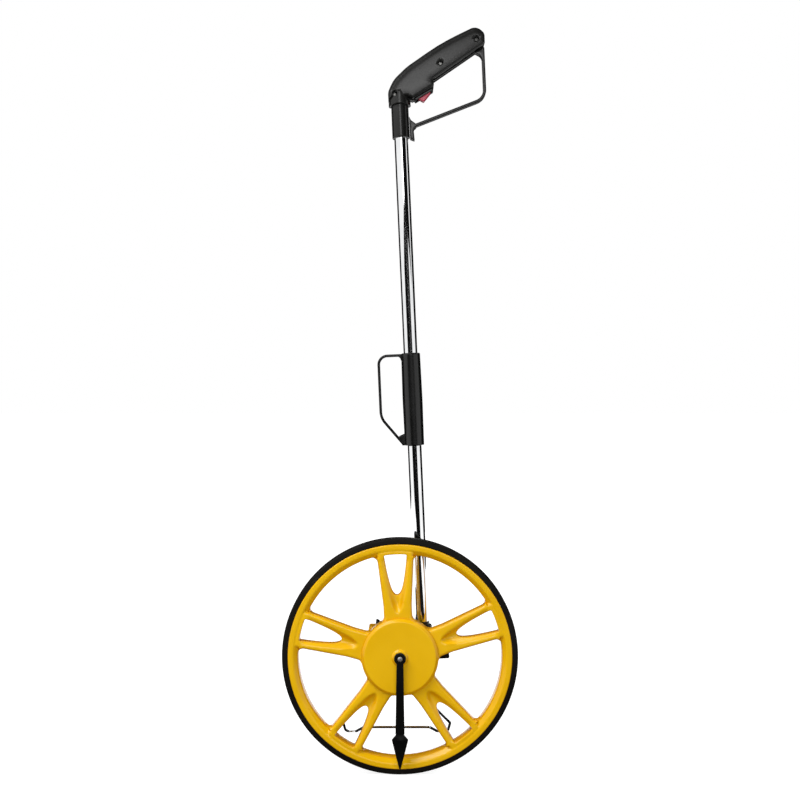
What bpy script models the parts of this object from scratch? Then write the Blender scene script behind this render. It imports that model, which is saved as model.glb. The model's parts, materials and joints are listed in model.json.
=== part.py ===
"""A folding measuring wheel: a spoked wheel of one metre round, a counter, a side stand and a folding shaft.

The origin is on the ground under the axle, in the wheel's middle plane. +Z is up, +X is towards the user's
side, and the wheel's open face looks along -Y. Lengths are in metres.
"""

import math

import bmesh
import bpy
from mathutils import Matrix, Vector

mm = 0.001

# Clearances
gap = 0.3 * mm
overrun = 1 * mm
weld = 0.001 * mm

# Tyre and rim
tyre_diameter = 318.3 * mm
tyre_width = 22 * mm
tyre_thickness = 7.9 * mm
tyre_edge = 2.4 * mm
tyre_steps = 72
rim_width = 24 * mm
rim_depth = 13.5 * mm
rim_wall = 3.4 * mm
rim_rounding = 2.4 * mm

# Spokes
spoke_count = 5
wheel_turn = math.radians(2.7)
spoke_recess = 0.8 * mm
spoke_thickness = 18 * mm
spoke_rounding = 4 * mm
spoke_width_at_hub = 38.4 * mm
spoke_width_at_rim = 49.8 * mm
spoke_straight = 17 * mm
fork_width_at_rim = 30.8 * mm
fork_length = 55.6 * mm
fork_spread_share = 0.43
fork_fillet = 2 * mm
scoop_length = 23.1 * mm
scoop_width_at_throat = 22.4 * mm
scoop_depth = 7 * mm
scoop_slope_length = 16 * mm
scoop_section_shares = ((1, 0), (0.75, 0.29), (0.5, 0.65), (0.25, 0.91), (0, 1))
rim_fillet = 8 * mm
hub_fillet = 9 * mm

# Hub
hub_diameter = 104.1 * mm
hub_cover_depth = 6.4 * mm
hub_cover_rounding = 5.4 * mm
hub_boss_diameter = 22 * mm
hub_boss_height = 2.6 * mm
hub_barrel_diameter = 32 * mm
axle_diameter = 8 * mm
bush_wall = 1.8 * mm
bush_length = 9 * mm
bush_flange = 2.2 * mm
bush_flange_thickness = 1.5 * mm

# Pointer and its screw
pointer_length = 146.3 * mm
pointer_eye_diameter = 16 * mm
pointer_thickness = 3.4 * mm
pointer_width_at_eye = 9.2 * mm
pointer_width_at_head = 12.2 * mm
pointer_neck_width = 10.9 * mm
pointer_head_width = 22.1 * mm
pointer_head_length = 45.1 * mm
pointer_barb_length = 6.4 * mm
pointer_head_ridge = 1.6 * mm
pointer_pin_diameter = 4.4 * mm
pointer_screw_diameter = 2.4 * mm
pointer_screw_head_diameter = 6.5 * mm
pointer_screw_head_height = 2.2 * mm
pointer_screw_length = 8 * mm
hub_washer_diameter = 14 * mm
hub_washer_thickness = 0.8 * mm

# Gears between the hub and the counter
gear_teeth = 16
gear_width = 5.6 * mm
gear_tip_share = 0.88
gear_root_share = 1.24
tooth_tip_share = 0.2
tooth_root_share = 0.6
counter_offset_x = -17 * mm
counter_offset_z = 10 * mm
thrust_washer_diameter = 15 * mm
thrust_washer_thickness = 0.8 * mm

# Bracket
bracket_front = 20 * mm
bracket_depth = 26 * mm
bracket_diameter = 84 * mm
bracket_plate = 5.5 * mm
bracket_wall = 3 * mm
bracket_boss_diameter = 22 * mm
bracket_boss_length = 9 * mm
bracket_front_boss = 13 * mm
axle_washer_diameter = 17 * mm
axle_washer_thickness = 1.4 * mm
axle_nut_width = 13 * mm
axle_nut_height = 5.5 * mm
axle_end = 1.5 * mm
bracket_screw_places = ((-28 * mm, -20 * mm), (6 * mm, -33 * mm))
bracket_post_diameter = 8 * mm

# Shaft line
tube_diameter = 19 * mm
tube_wall = 1 * mm
tube_plane = 32.5 * mm
tube_offset = 32.4 * mm
tube_lean = math.radians(2.5)
socket_diameter = 25 * mm
socket_below = 34 * mm
socket_above = 35.3 * mm
socket_floor = 4 * mm
clamp_reach = 35.5 * mm
clamp_slope = 1.4 * mm
clamp_below = 12 * mm
clamp_above = 13.5 * mm
clamp_depth = 11 * mm
clamp_slit = 1.6 * mm
clamp_bolt_reach = 25 * mm
clamp_bolt_diameter = 4 * mm
clamp_bolt_head_diameter = 7 * mm
clamp_bolt_head_height = 3 * mm
clamp_nut_width = 7 * mm
clamp_nut_height = 3 * mm

# Sliding sleeve and the hinge inside it
sleeve_length = 127.1 * mm
sleeve_diameter_below = 26.6 * mm
sleeve_diameter_above = 26 * mm
sleeve_rounding = 1.6 * mm
sleeve_foot = 282.8 * mm
hinge_above_foot = 32 * mm
seat_diameter = 24 * mm
seat_angle = math.radians(28)
seat_drop = 2.4 * mm
hinge_plug_length = 20 * mm
fork_half_width = 4.7 * mm
fork_half_depth = 5.2 * mm
fork_slot = 5.6 * mm
fork_slot_below = 16 * mm
tongue_half_width = 5 * mm
tongue_eye_radius = 6 * mm
tongue_shoulder = 2.2 * mm
upper_tube_above_hinge = 34 * mm
hinge_pin_diameter = 4 * mm
hinge_pin_length = 14 * mm

# Carrying bow on the sleeve
bow_thickness = 3.6 * mm
bow_depth = 10 * mm
bow_reach = 30.9 * mm
bow_top_below_sleeve_top = 2.6 * mm
bow_top_corner_radius = 12 * mm
bow_bend_radius = 24 * mm
bow_bend_height = 39.3 * mm
bow_foot_height = 2.4 * mm
bow_gusset_height = 17 * mm
bow_gusset_reach = 8 * mm
bow_gusset_tip_share = 0.76

# Handle, in the shaft's own line: across it towards the user, and up it
handle_foot = 747.7 * mm
handle_reach = 120.6 * mm
handle_rise = 112.7 * mm
handle_width = 30 * mm
handle_wall = 2.6 * mm
handle_edge = 3.6 * mm
handle_parting = 0.3 * mm
handle_collar_diameter = 30.4 * mm
handle_collar_lift = 2.7 * mm
handle_collar_length = 19 * mm
handle_tip_radius = 13.5 * mm
handle_nape_radius = 16 * mm
handle_shoulder_radius = 40 * mm
handle_brow_radius = 70 * mm
handle_crown_radius = 300 * mm
handle_corner_rounding = 0.8 * mm
handle_back_shares = ((-0.128, 0.09), (-0.128, 0.193), (-0.062, 0.335), (0.1, 0.489), (0.5, 0.76))
handle_tip_shares = ((0.999, 0.992), (0.996, 0.715))
handle_under_shares = ((0.393, 0.312), (0.4, 0.233), (0.15, 0.087), (0.082, 0.12))
handle_screw_shares = ((0.902, 0.778), (0.483, 0.508), (-0.053, 0.157))
handle_screw_recess_diameter = 6.9 * mm
handle_screw_recess_depth = 9 * mm
handle_screw_head_diameter = 6 * mm
handle_screw_head_height = 2 * mm
handle_screw_diameter = 3 * mm
handle_screw_length = 13 * mm
handle_post_diameter = 10.4 * mm
handle_socket_diameter = 24 * mm
handle_socket_foot = 42.1 * mm
handle_socket_head = 10.2 * mm
upper_tube_head = 4 * mm

# Guard bow
guard_thickness = 4.4 * mm
guard_depth = 10 * mm
guard_corner_radius = 17 * mm
guard_shares = ((0.976, 0.69), (0.976, 0.073), (0.15, -0.229))
guard_root_shares = ((0.88, 0.63), (0.992, 0.7), (0.992, 0.54), (0.96, 0.54), (0.945, 0.59))
guard_gusset_shares = ((0.0, -0.11), (0.018, -0.155), (0.075, -0.204), (0.075, -0.25), (0.045, -0.27),
                       (0.052, -0.41), (0.0, -0.385))

# Trigger in its bezel, in a frame that lies along the handle's underside
bezel_place_share = 0.485
bezel_length = 29 * mm
bezel_width = 19 * mm
bezel_frame = 2.5 * mm
bezel_height = 3.6 * mm
bezel_rounding = 1.5 * mm
trigger_width = 11 * mm
trigger_nose = 9.8 * mm
trigger_eye_radius = 3.2 * mm
trigger_profile_shares = ((-0.566, 0.4), (-0.35, 0.96), (-0.28, 0.96), (0.66, 0.45), (0.7, -0.4),
                          (-0.6, -0.4))
trigger_pivot_share = 0.57
trigger_pin_lift = 5.4 * mm
trigger_pin_diameter = 3 * mm
trigger_pin_seat = 0.7 * mm
trigger_boss_diameter = 7 * mm
trigger_boss_height = 1.8 * mm
trigger_spring_wire = 0.9 * mm
trigger_spring_turns = 2

# Counter housing, from the axle
housing_left = -43.8 * mm
housing_right = 33.8 * mm
housing_below_axle = 57.2 * mm
housing_above_axle = 28.5 * mm
housing_depth = 25.7 * mm
housing_wall = 2.5 * mm
housing_corner_radius = 3 * mm
housing_post = 8 * mm
cover_thickness = 3 * mm
cover_screw_inset = 4.6 * mm
screw_diameter = 2.6 * mm
screw_length = 12 * mm
screw_head_diameter = 5.6 * mm
screw_head_height = 2 * mm
window_length = 20 * mm
window_width = 19 * mm
lens_border = 1 * mm
lens_thickness = 1.5 * mm
bezel_border = 5.4 * mm
window_bezel_height = 7 * mm
window_bezel_rounding = 2.6 * mm

# Number drums
drum_count = 5
drum_names = ("tenths", "metres", "tens", "hundreds", "thousands")
drum_diameter = 25 * mm
drum_pitch = 4.2 * mm
drum_space = 0.5 * mm
drum_rest = 1.6 * mm
counter_shaft_diameter = 5 * mm
shaft_bush_wall = 1.5 * mm
shaft_bush_length = 3.2 * mm
reset_knob_diameter = 16 * mm
reset_knob_height = 8 * mm
reset_knob_flutes = 12
reset_knob_flute = 0.9 * mm

# Stand
stand_centre = -4.9 * mm
stand_hinge_y = 83 * mm
stand_wire_diameter = 3.8 * mm
stand_half_width = 35 * mm
stand_end_length = 10 * mm
stand_foot_half_width = 79.6 * mm
stand_foot_inner = 62.7 * mm
stand_bar_half_width = 49.3 * mm
stand_hinge_drop = 15.3 * mm
stand_slope = math.radians(38.8)
stand_bar_lift = 17.4 * mm
stand_knee = 32.8 * mm
stand_knee_radius = 6 * mm
stand_toe_radius = 11 * mm
stand_bar_radius = 5 * mm
stand_bracket_thickness = 4 * mm
stand_bracket_length = 30 * mm
stand_lug_thickness = 5 * mm
stand_lug_radius = 6 * mm

# Sizes worked out from the ones above
tyre_radius = tyre_diameter / 2
axle_height = tyre_radius * math.cos(math.pi / tyre_steps)
rim_radius = tyre_radius - tyre_thickness - gap
rim_inner_radius = rim_radius - rim_depth
rim_arc_radius = rim_inner_radius + rim_wall / 2
spoke_front = rim_width / 2 - spoke_recess
fork_throat = rim_inner_radius - fork_length
hub_radius = hub_diameter / 2
bush_radius = axle_diameter / 2 + gap + bush_wall
hub_bore = bush_radius + gap
hub_back = -rim_width / 2 + bush_flange_thickness
cover_back = spoke_front + gap
cover_front = cover_back + hub_cover_depth
boss_front = cover_front + hub_boss_height
washer_front = boss_front + gap + hub_washer_thickness
pointer_back = washer_front + gap
pointer_front = pointer_back + pointer_thickness
pointer_bore = pointer_pin_diameter / 2 + gap
gear_centres = math.hypot(counter_offset_x, counter_offset_z)
gear_front = hub_back - bush_flange_thickness - gap
gear_back = gear_front - gear_width
thrust_front = gear_back - gap
thrust_back = thrust_front - thrust_washer_thickness
bracket_back = bracket_front + bracket_depth
boss_back = -bracket_front - bracket_boss_length - bracket_plate
axle_bore = axle_diameter / 2 + gap
nut_front = boss_back - 2 * gap - axle_washer_thickness
nut_back = nut_front - axle_nut_height
housing_bottom = axle_height - housing_below_axle
housing_top = axle_height + housing_above_axle
housing_front = bracket_back + gap
housing_back = housing_front + housing_depth
cover_outside = housing_back + gap + cover_thickness
screw_bore = screw_diameter / 2 + gap
tube_bore = tube_diameter / 2 + gap
tube_inner = tube_diameter / 2 - tube_wall
hinge_height = sleeve_foot + hinge_above_foot
seat_top_radius = seat_diameter / 2 - seat_drop
seat_height = seat_drop / math.tan(seat_angle)
seat_gap = gap / math.cos(seat_angle)
tongue_half_depth = fork_slot / 2 - gap
hinge_bore = hinge_pin_diameter / 2 + gap
handle_above_hinge = handle_foot - hinge_height
handle_corner_radius = handle_edge + handle_corner_rounding
drum_radius = drum_diameter / 2
counter_x = counter_offset_x
counter_z = axle_height + counter_offset_z
counter_bore = counter_shaft_diameter / 2 + gap
shaft_bush_radius = counter_bore + shaft_bush_wall
drums_front = housing_front + housing_wall + drum_rest
stand_wire_radius = stand_wire_diameter / 2
stand_hinge_z = housing_bottom - stand_hinge_drop
stand_length = (stand_hinge_z - stand_wire_radius) / math.sin(stand_slope)
stand_bore = stand_wire_radius + gap

# Turns that lay a piece's own Z along another direction
along_x = (0, math.pi / 2, 0)
along_y = (-math.pi / 2, 0, 0)
facing_x = (math.pi / 2, 0, math.pi / 2)
facing_front = (math.pi / 2, 0, 0)
upside_down = (math.pi, 0, 0)

# Colours, roughness and metallic value of each finish
finishes = {
    "yellow_plastic": ((0.72, 0.42, 0.004), 0.38, 0.0),
    "black_plastic": ((0.022, 0.022, 0.021), 0.45, 0.0),
    "satin_black": ((0.015, 0.015, 0.015), 0.32, 0.0),
    "tyre_rubber": ((0.012, 0.011, 0.010), 0.62, 0.0),
    "chrome": ((0.78, 0.78, 0.78), 0.06, 1.0),
    "zinc_steel": ((0.6, 0.6, 0.58), 0.3, 1.0),
    "brass": ((0.62, 0.44, 0.16), 0.3, 1.0),
    "white_nylon": ((0.78, 0.77, 0.72), 0.42, 0.0),
    "red_plastic": ((0.45, 0.03, 0.05), 0.35, 0.0),
    "clear_plastic": ((0.85, 0.88, 0.88), 0.08, 0.0),
    "drum_white": ((0.8, 0.8, 0.78), 0.4, 0.0),
}


def start_scene():
    """Empties the scene and makes one collection for the parts and one for the tools that shape them."""
    for obj in list(bpy.data.objects):
        bpy.data.objects.remove(obj, do_unlink=True)
    for name in ("measuring_wheel", "cutters"):
        bpy.context.scene.collection.children.link(bpy.data.collections.new(name))


def finish(name, look):
    """The named piece's own material."""
    colour, roughness, metallic = finishes[look]
    material = bpy.data.materials.new(name)
    material.use_nodes = True
    shader = material.node_tree.nodes["Principled BSDF"]
    shader.inputs["Base Color"].default_value = (*colour, 1)
    shader.inputs["Roughness"].default_value = roughness
    shader.inputs["Metallic"].default_value = metallic
    return material


def frame(name, parent=None, at=(0, 0, 0), turn=(0, 0, 0)):
    """An empty that carries pieces in its own directions."""
    empty = bpy.data.objects.new(name, None)
    bpy.data.collections["measuring_wheel"].objects.link(empty)
    empty.parent = parent
    empty.location = at
    empty.rotation_euler = turn
    return empty


def place(name, data, look, parent, at=(0, 0, 0), turn=(0, 0, 0)):
    """Links an object: with a look it is a piece, and without one it is a tool that cuts or joins."""
    obj = bpy.data.objects.new(name, data)
    obj.parent = parent
    obj.location = at
    obj.rotation_euler = turn
    if look:
        bpy.data.collections["measuring_wheel"].objects.link(obj)
        data.materials.append(finish(name, look))
    else:
        bpy.data.collections["cutters"].objects.link(obj)
        obj.hide_render = True
        obj.display_type = "WIRE"
    return obj


def smoothed(mesh):
    """Shades the round faces smooth and keeps the real edges sharp."""
    mesh.shade_smooth()
    mesh.set_sharp_from_angle(angle=math.radians(35))
    return mesh


def combined(obj, tool, operation):
    """Adds one Boolean of the tool to the object."""
    change = obj.modifiers.new(tool.name, "BOOLEAN")
    change.operation = operation
    change.object = tool
    return obj


def cut(obj, *tools):
    """Takes the tools out of the object."""
    for tool in tools:
        combined(obj, tool, "DIFFERENCE")
    return obj


def join(obj, *tools):
    """Adds the tools to the object."""
    for tool in tools:
        combined(obj, tool, "UNION")
    return obj


def cylinder(name, radius, low, high, look, parent, at=(0, 0, 0), turn=(0, 0, 0), steps=24):
    """A round bar along its own Z, from low to high."""
    shape = bmesh.new()
    bmesh.ops.create_cone(shape, cap_ends=True, segments=steps, radius1=radius, radius2=radius,
                          depth=high - low, matrix=Matrix.Translation((0, 0, (low + high) / 2)))
    mesh = bpy.data.meshes.new(name)
    shape.to_mesh(mesh)
    shape.free()
    return place(name, smoothed(mesh), look, parent, at, turn)


def box(name, low, high, look, parent, at=(0, 0, 0), turn=(0, 0, 0)):
    """A box between two opposite corners."""
    low, high = Vector(low), Vector(high)
    shape = bmesh.new()
    matrix = Matrix.Translation((low + high) / 2) @ Matrix.Diagonal((*(high - low), 1))
    bmesh.ops.create_cube(shape, size=1, matrix=matrix)
    mesh = bpy.data.meshes.new(name)
    shape.to_mesh(mesh)
    shape.free()
    return place(name, mesh, look, parent, at, turn)


def turned(name, profile, look, parent, at=(0, 0, 0), turn=(0, 0, 0), steps=24):
    """A profile of (radius, height) turned about Z. It runs down its outer side from the top."""
    count = len(profile)
    solid = profile[0][0] == 0 and profile[-1][0] == 0
    edges = [(i, (i + 1) % count) for i in range(count - 1 if solid else count)]
    mesh = bpy.data.meshes.new(name)
    mesh.from_pydata([(radius, 0, height) for radius, height in profile], edges, [])
    obj = place(name, mesh, look, parent, at, turn)
    screw = obj.modifiers.new("turn", "SCREW")
    screw.axis = "Z"
    screw.steps = steps
    screw.render_steps = steps
    screw.use_merge_vertices = True
    screw.merge_threshold = weld
    return obj


def ring(name, inner, outer, low, high, look, parent, at=(0, 0, 0), turn=(0, 0, 0), steps=24, chamfer=0):
    """A turned ring with its two outer edges chamfered."""
    profile = [(inner, high), (outer - chamfer, high), (outer, high - chamfer)]
    profile += [(outer, low + chamfer), (outer - chamfer, low), (inner, low)]
    if not chamfer:
        profile = [(inner, high), (outer, high), (outer, low), (inner, low)]
    return turned(name, profile, look, parent, at, turn, steps)


def arc(centre, start, end, steps):
    """Points on the short arc about a centre from start to end."""
    centre, start, end = Vector(centre), Vector(start), Vector(end)
    first = math.atan2(*(start - centre).yx)
    sweep = math.remainder(math.atan2(*(end - centre).yx) - first, math.tau)
    radius = (start - centre).length
    angles = [first + sweep * i / steps for i in range(steps + 1)]
    return [(centre.x + radius * math.cos(a), centre.y + radius * math.sin(a)) for a in angles]


def rounded(corners, closed=True, step=math.radians(22)):
    """An outline from corners of (x, y, radius), with an arc at each corner that its sides have room for."""
    count = len(corners)
    places = [Vector(corner[:2]) for corner in corners]
    halves, reaches = [], []
    for i, (x, y, radius) in enumerate(corners):
        back, ahead = places[i - 1] - places[i], places[(i + 1) % count] - places[i]
        halves.append(back.angle(ahead) / 2)
        sharp = not radius or (not closed and i in (0, count - 1))
        reaches.append(0 if sharp else radius / math.tan(halves[i]))
    points = []
    for i, corner in enumerate(places):
        if not reaches[i]:
            points.append(tuple(corner))
            continue
        back, ahead = places[i - 1] - corner, places[(i + 1) % count] - corner
        room_back = back.length / (reaches[i] + reaches[i - 1])
        room_ahead = ahead.length / (reaches[i] + reaches[(i + 1) % count])
        reach = reaches[i] * min(1, room_back, room_ahead)
        back, ahead, half = back.normalized(), ahead.normalized(), halves[i]
        centre = corner + (back + ahead).normalized() * (reach / math.cos(half))
        steps = max(2, math.ceil((math.pi - 2 * half) / step))
        points += arc(centre, corner + back * reach, corner + ahead * reach, steps)
    return points


def ribbon(path, thickness):
    """The closed outline of a strap of even thickness along an open path."""
    left, right = [], []
    path = [Vector(point) for point in path]
    for i, point in enumerate(path):
        before = (point - path[max(i - 1, 0)]).normalized()
        after = (path[min(i + 1, len(path) - 1)] - point).normalized()
        along = (before + after).normalized()
        side = Vector((-along.y, along.x)) * thickness / 2
        side /= along.dot(after if i == 0 else before)
        left.append(point + side)
        right.append(point - side)
    return [tuple(point) for point in left + right[::-1]]


def inset(outline, distance):
    """An anticlockwise outline moved inwards by a distance."""
    points = [Vector(point) for point in outline]
    moved = []
    for i, point in enumerate(points):
        before = (point - points[i - 1]).normalized()
        after = (points[(i + 1) % len(points)] - point).normalized()
        normal = Vector((-before.y - after.y, before.x + after.x)).normalized()
        moved.append(tuple(point + normal * distance / normal.dot(Vector((-after.y, after.x)))))
    return moved


def as_mesh(name, curve):
    """The mesh of a curve, with its loose caps welded to its sides."""
    holder = bpy.data.objects.new(name, curve)
    bpy.context.scene.collection.objects.link(holder)
    graph = bpy.context.evaluated_depsgraph_get()
    mesh = bpy.data.meshes.new_from_object(holder.evaluated_get(graph))
    bpy.data.objects.remove(holder)
    bpy.data.curves.remove(curve)
    shape = bmesh.new()
    shape.from_mesh(mesh)
    bmesh.ops.remove_doubles(shape, verts=shape.verts, dist=weld)
    bmesh.ops.recalc_face_normals(shape, faces=shape.faces)
    shape.to_mesh(mesh)
    shape.free()
    mesh.materials.clear()
    return mesh


def plate(name, outlines, low, high, look, parent, at=(0, 0, 0), turn=(0, 0, 0), edge=0, edge_steps=0):
    """A flat plate from closed outlines, the inner ones being holes, from low to high along its own Z."""
    curve = bpy.data.curves.new(name, "CURVE")
    curve.dimensions = "2D"
    curve.fill_mode = "BOTH"
    curve.extrude = (high - low) / 2 - edge
    curve.bevel_depth = edge
    curve.bevel_resolution = edge_steps
    curve.offset = -edge
    for outline in outlines:
        spline = curve.splines.new("POLY")
        spline.points.add(len(outline) - 1)
        for point, (x, y) in zip(spline.points, outline):
            point.co = (x, y, 0, 1)
        spline.use_cyclic_u = True
    mesh = as_mesh(name, curve)
    mesh.transform(Matrix.Translation((0, 0, (low + high) / 2)))
    return place(name, smoothed(mesh), look, parent, at, turn)


def wire(name, points, radius, look, parent, at=(0, 0, 0), turn=(0, 0, 0), sides=2):
    """A round wire through points, with closed ends."""
    curve = bpy.data.curves.new(name, "CURVE")
    curve.dimensions = "3D"
    curve.bevel_depth = radius
    curve.bevel_resolution = sides
    curve.use_fill_caps = True
    spline = curve.splines.new("POLY")
    spline.points.add(len(points) - 1)
    for point, place_of in zip(spline.points, points):
        point.co = (*place_of, 1)
    return place(name, smoothed(as_mesh(name, curve)), look, parent, at, turn)


def circle(radius, steps=24, x=0, y=0):
    """A closed round outline."""
    angles = [math.tau * i / steps for i in range(steps)]
    return [(x + radius * math.cos(a), y + radius * math.sin(a)) for a in angles]


def screw(name, head, head_height, shank, length, look, parent, at, turn=(0, 0, 0), steps=12):
    """A pan-head screw. Its head stands on its own z = 0 and its shank runs down from there."""
    profile = [(0, head_height), (head * 0.36, head_height), (head / 2, head_height / 2), (head / 2, 0)]
    profile += [(shank / 2, 0), (shank / 2, -length), (0, -length)]
    return turned(name, profile, look, parent, at, turn, steps)


def rotated(points, angle):
    """An outline turned about the origin."""
    c, s = math.cos(angle), math.sin(angle)
    return [(c * x - s * y, s * x + c * y) for x, y in points]


def spoke_half_width(radius):
    """Half a spoke's width at a distance from the axle: straight by the hub, then spreading to the rim."""
    start = hub_radius + spoke_straight
    share = max(0, radius - start) / (rim_inner_radius - start)
    return (spoke_width_at_hub + (spoke_width_at_rim - spoke_width_at_hub) * share) / 2


def wheel_opening():
    """The outline between the first spoke, which stands up, and the next one, anticlockwise."""
    bay = math.tau / spoke_count
    rim_angle = math.asin(spoke_width_at_rim / 2 / rim_arc_radius)
    hub_angle = math.asin(spoke_width_at_hub / 2 / hub_radius)
    waist_radius = hub_radius + spoke_straight
    side = [(-hub_radius * math.sin(hub_angle), hub_radius * math.cos(hub_angle), hub_fillet)]
    side += [(-spoke_half_width(waist_radius), waist_radius, 0)]
    side += [(-rim_arc_radius * math.sin(rim_angle), rim_arc_radius * math.cos(rim_angle), rim_fillet)]
    corners = list(side)
    for i in range(1, 8):
        angle = rim_angle + (bay - 2 * rim_angle) * i / 8
        corners.append((-rim_arc_radius * math.sin(angle), rim_arc_radius * math.cos(angle), 0))
    for x, y, radius in side[::-1]:
        corners.append((*rotated([(-x, y)], bay)[0], radius))
    middle = bay / 2
    corners.append((-hub_radius * math.sin(middle), hub_radius * math.cos(middle), 0))
    return rounded(corners)


def spoke_fork():
    """The outline of the slot that forks a spoke towards the rim, opening like a horn from its throat."""
    half = fork_width_at_rim / 2
    rim_y = math.sqrt(rim_arc_radius ** 2 - half ** 2)
    side = []
    for i in range(11):
        share = (i / 10) ** 2
        side.append((half * share ** fork_spread_share, fork_throat + (rim_y - fork_throat) * share, 0))
    corner = (*side.pop()[:2], fork_fillet)
    left = [(-x, y, radius) for x, y, radius in side[:0:-1]]
    return rounded([corner, (0, rim_arc_radius, 0), (-corner[0], *corner[1:])] + left + side)


def spoke_scoop(name, parent, turn):
    """The tool that hollows a spoke's front, from a point nearer the hub than the fork's throat."""
    start = fork_throat - scoop_length
    length = rim_arc_radius - start
    shape = bmesh.new()
    for i in range(9):
        along = length * (i / 8) ** 2
        half = scoop_width_at_throat / 2 * math.sqrt(along / scoop_length)
        depth = scoop_depth * min(1, along / scoop_slope_length)
        for x, z in scoop_section_shares:
            for side in (-1, 1):
                shape.verts.new((side * x * half, start + along, -z * depth))
                shape.verts.new((side * x * half, start + along, overrun))
    bmesh.ops.remove_doubles(shape, verts=shape.verts, dist=weld)
    hull = bmesh.ops.convex_hull(shape, input=shape.verts)
    bmesh.ops.delete(shape, geom=hull["geom_interior"], context="VERTS")
    mesh = bpy.data.meshes.new(name)
    shape.to_mesh(mesh)
    shape.free()
    return place(name, mesh, None, parent, (0, 0, spoke_front), turn)


def make_wheel(axle_frame):
    """The turning wheel: spider, tyre, hub cover, bushes and drive gear."""
    spokes = frame("wheel_spokes", axle_frame, turn=(0, 0, wheel_turn))
    bays = [math.tau * i / spoke_count for i in range(spoke_count)]
    openings = [rotated(wheel_opening(), bay) for bay in bays]
    openings += [rotated(spoke_fork(), bay) for bay in bays]
    spider = plate("wheel_spider", [circle(rim_radius - rim_wall / 2, tyre_steps)] + openings,
                   spoke_front - spoke_thickness, spoke_front, "yellow_plastic", spokes, edge=spoke_rounding,
                   edge_steps=1)
    inner, outer, half, soft = rim_inner_radius, rim_radius, rim_width / 2, rim_rounding
    profile = [(inner + soft, half), (outer, half), (outer, -half), (inner, -half), (inner, half - soft)]
    rim = turned("rim_ring", profile, None, spokes, steps=tyre_steps)
    inner, outer, front, back = inner + rim_wall, outer - rim_wall, half - rim_wall, -rim_width
    profile = [(inner, front), (outer, front), (outer, back), (inner, back)]
    channel = turned("rim_channel", profile, None, spokes, steps=tyre_steps)
    barrel = cylinder("hub_barrel", hub_barrel_diameter / 2, hub_back, 0, None, spokes)
    bore = cylinder("hub_bore", hub_bore, -rim_width, rim_width, None, spokes)
    scoops = [spoke_scoop(f"spoke_scoop_{i + 1}", spokes, (0, 0, bay)) for i, bay in enumerate(bays)]
    cut(spider, *scoops)
    join(spider, rim, barrel)
    cut(spider, channel, bore)

    inner, outer, half = rim_radius + gap, tyre_radius, tyre_width / 2
    profile = [(inner, half), (outer - tyre_edge, half), (outer, half - tyre_edge)]
    profile += [(outer, tyre_edge - half), (outer - tyre_edge, -half), (inner, -half)]
    turned("tyre", profile, "tyre_rubber", axle_frame, turn=(0, 0, math.pi / tyre_steps), steps=tyre_steps)

    soft = hub_cover_rounding
    boss = hub_boss_diameter / 2
    profile = [(hub_bore, boss_front), (boss, boss_front), (boss, cover_front)]
    profile += arc((hub_radius - soft, cover_front - soft), (hub_radius - soft, cover_front),
                   (hub_radius, cover_front - soft), 4)
    profile += [(hub_radius, cover_back), (hub_bore, cover_back)]
    turned("hub_cover", profile, "yellow_plastic", axle_frame, steps=48)

    ring("hub_bush_front", axle_bore, bush_radius, boss_front - bush_length, boss_front, "white_nylon",
         axle_frame)
    inner, body, flange = axle_bore, bush_radius, bush_radius + bush_flange
    back = hub_back - bush_flange_thickness
    profile = [(inner, back + bush_length), (body, back + bush_length), (body, hub_back - gap)]
    profile += [(flange, hub_back - gap), (flange, back - gap), (inner, back - gap)]
    turned("hub_bush_rear", profile, "white_nylon", axle_frame)


def gear_outline(turn):
    """The outline of a spur gear whose first tooth stands at the given angle."""
    pitch_radius = gear_centres / 2
    module = 2 * pitch_radius / gear_teeth
    tip, root = pitch_radius + module * gear_tip_share, pitch_radius - module * gear_root_share
    points = []
    for i in range(gear_teeth):
        middle = turn + math.tau * i / gear_teeth
        for radius, share in ((root, -tooth_root_share), (tip, -tooth_tip_share),
                              (tip, tooth_tip_share), (root, tooth_root_share)):
            angle = middle + share * math.pi / gear_teeth
            points.append((radius * math.cos(angle), radius * math.sin(angle)))
    return points


def make_gears(axle_frame, counter_frame):
    """The drive gear behind the hub and the counter gear that meshes with it, tooth into gap."""
    towards = math.atan2(counter_offset_z, counter_offset_x)
    plate("drive_gear", [gear_outline(towards), circle(axle_bore)], gear_back, gear_front - gap,
          "white_nylon", axle_frame)
    half_tooth = math.pi / gear_teeth
    bore = counter_shaft_diameter / 2 + gap
    plate("counter_gear", [gear_outline(towards + math.pi + half_tooth), circle(bore, 16)], gear_back,
          gear_front - gap, "white_nylon", counter_frame)


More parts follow.
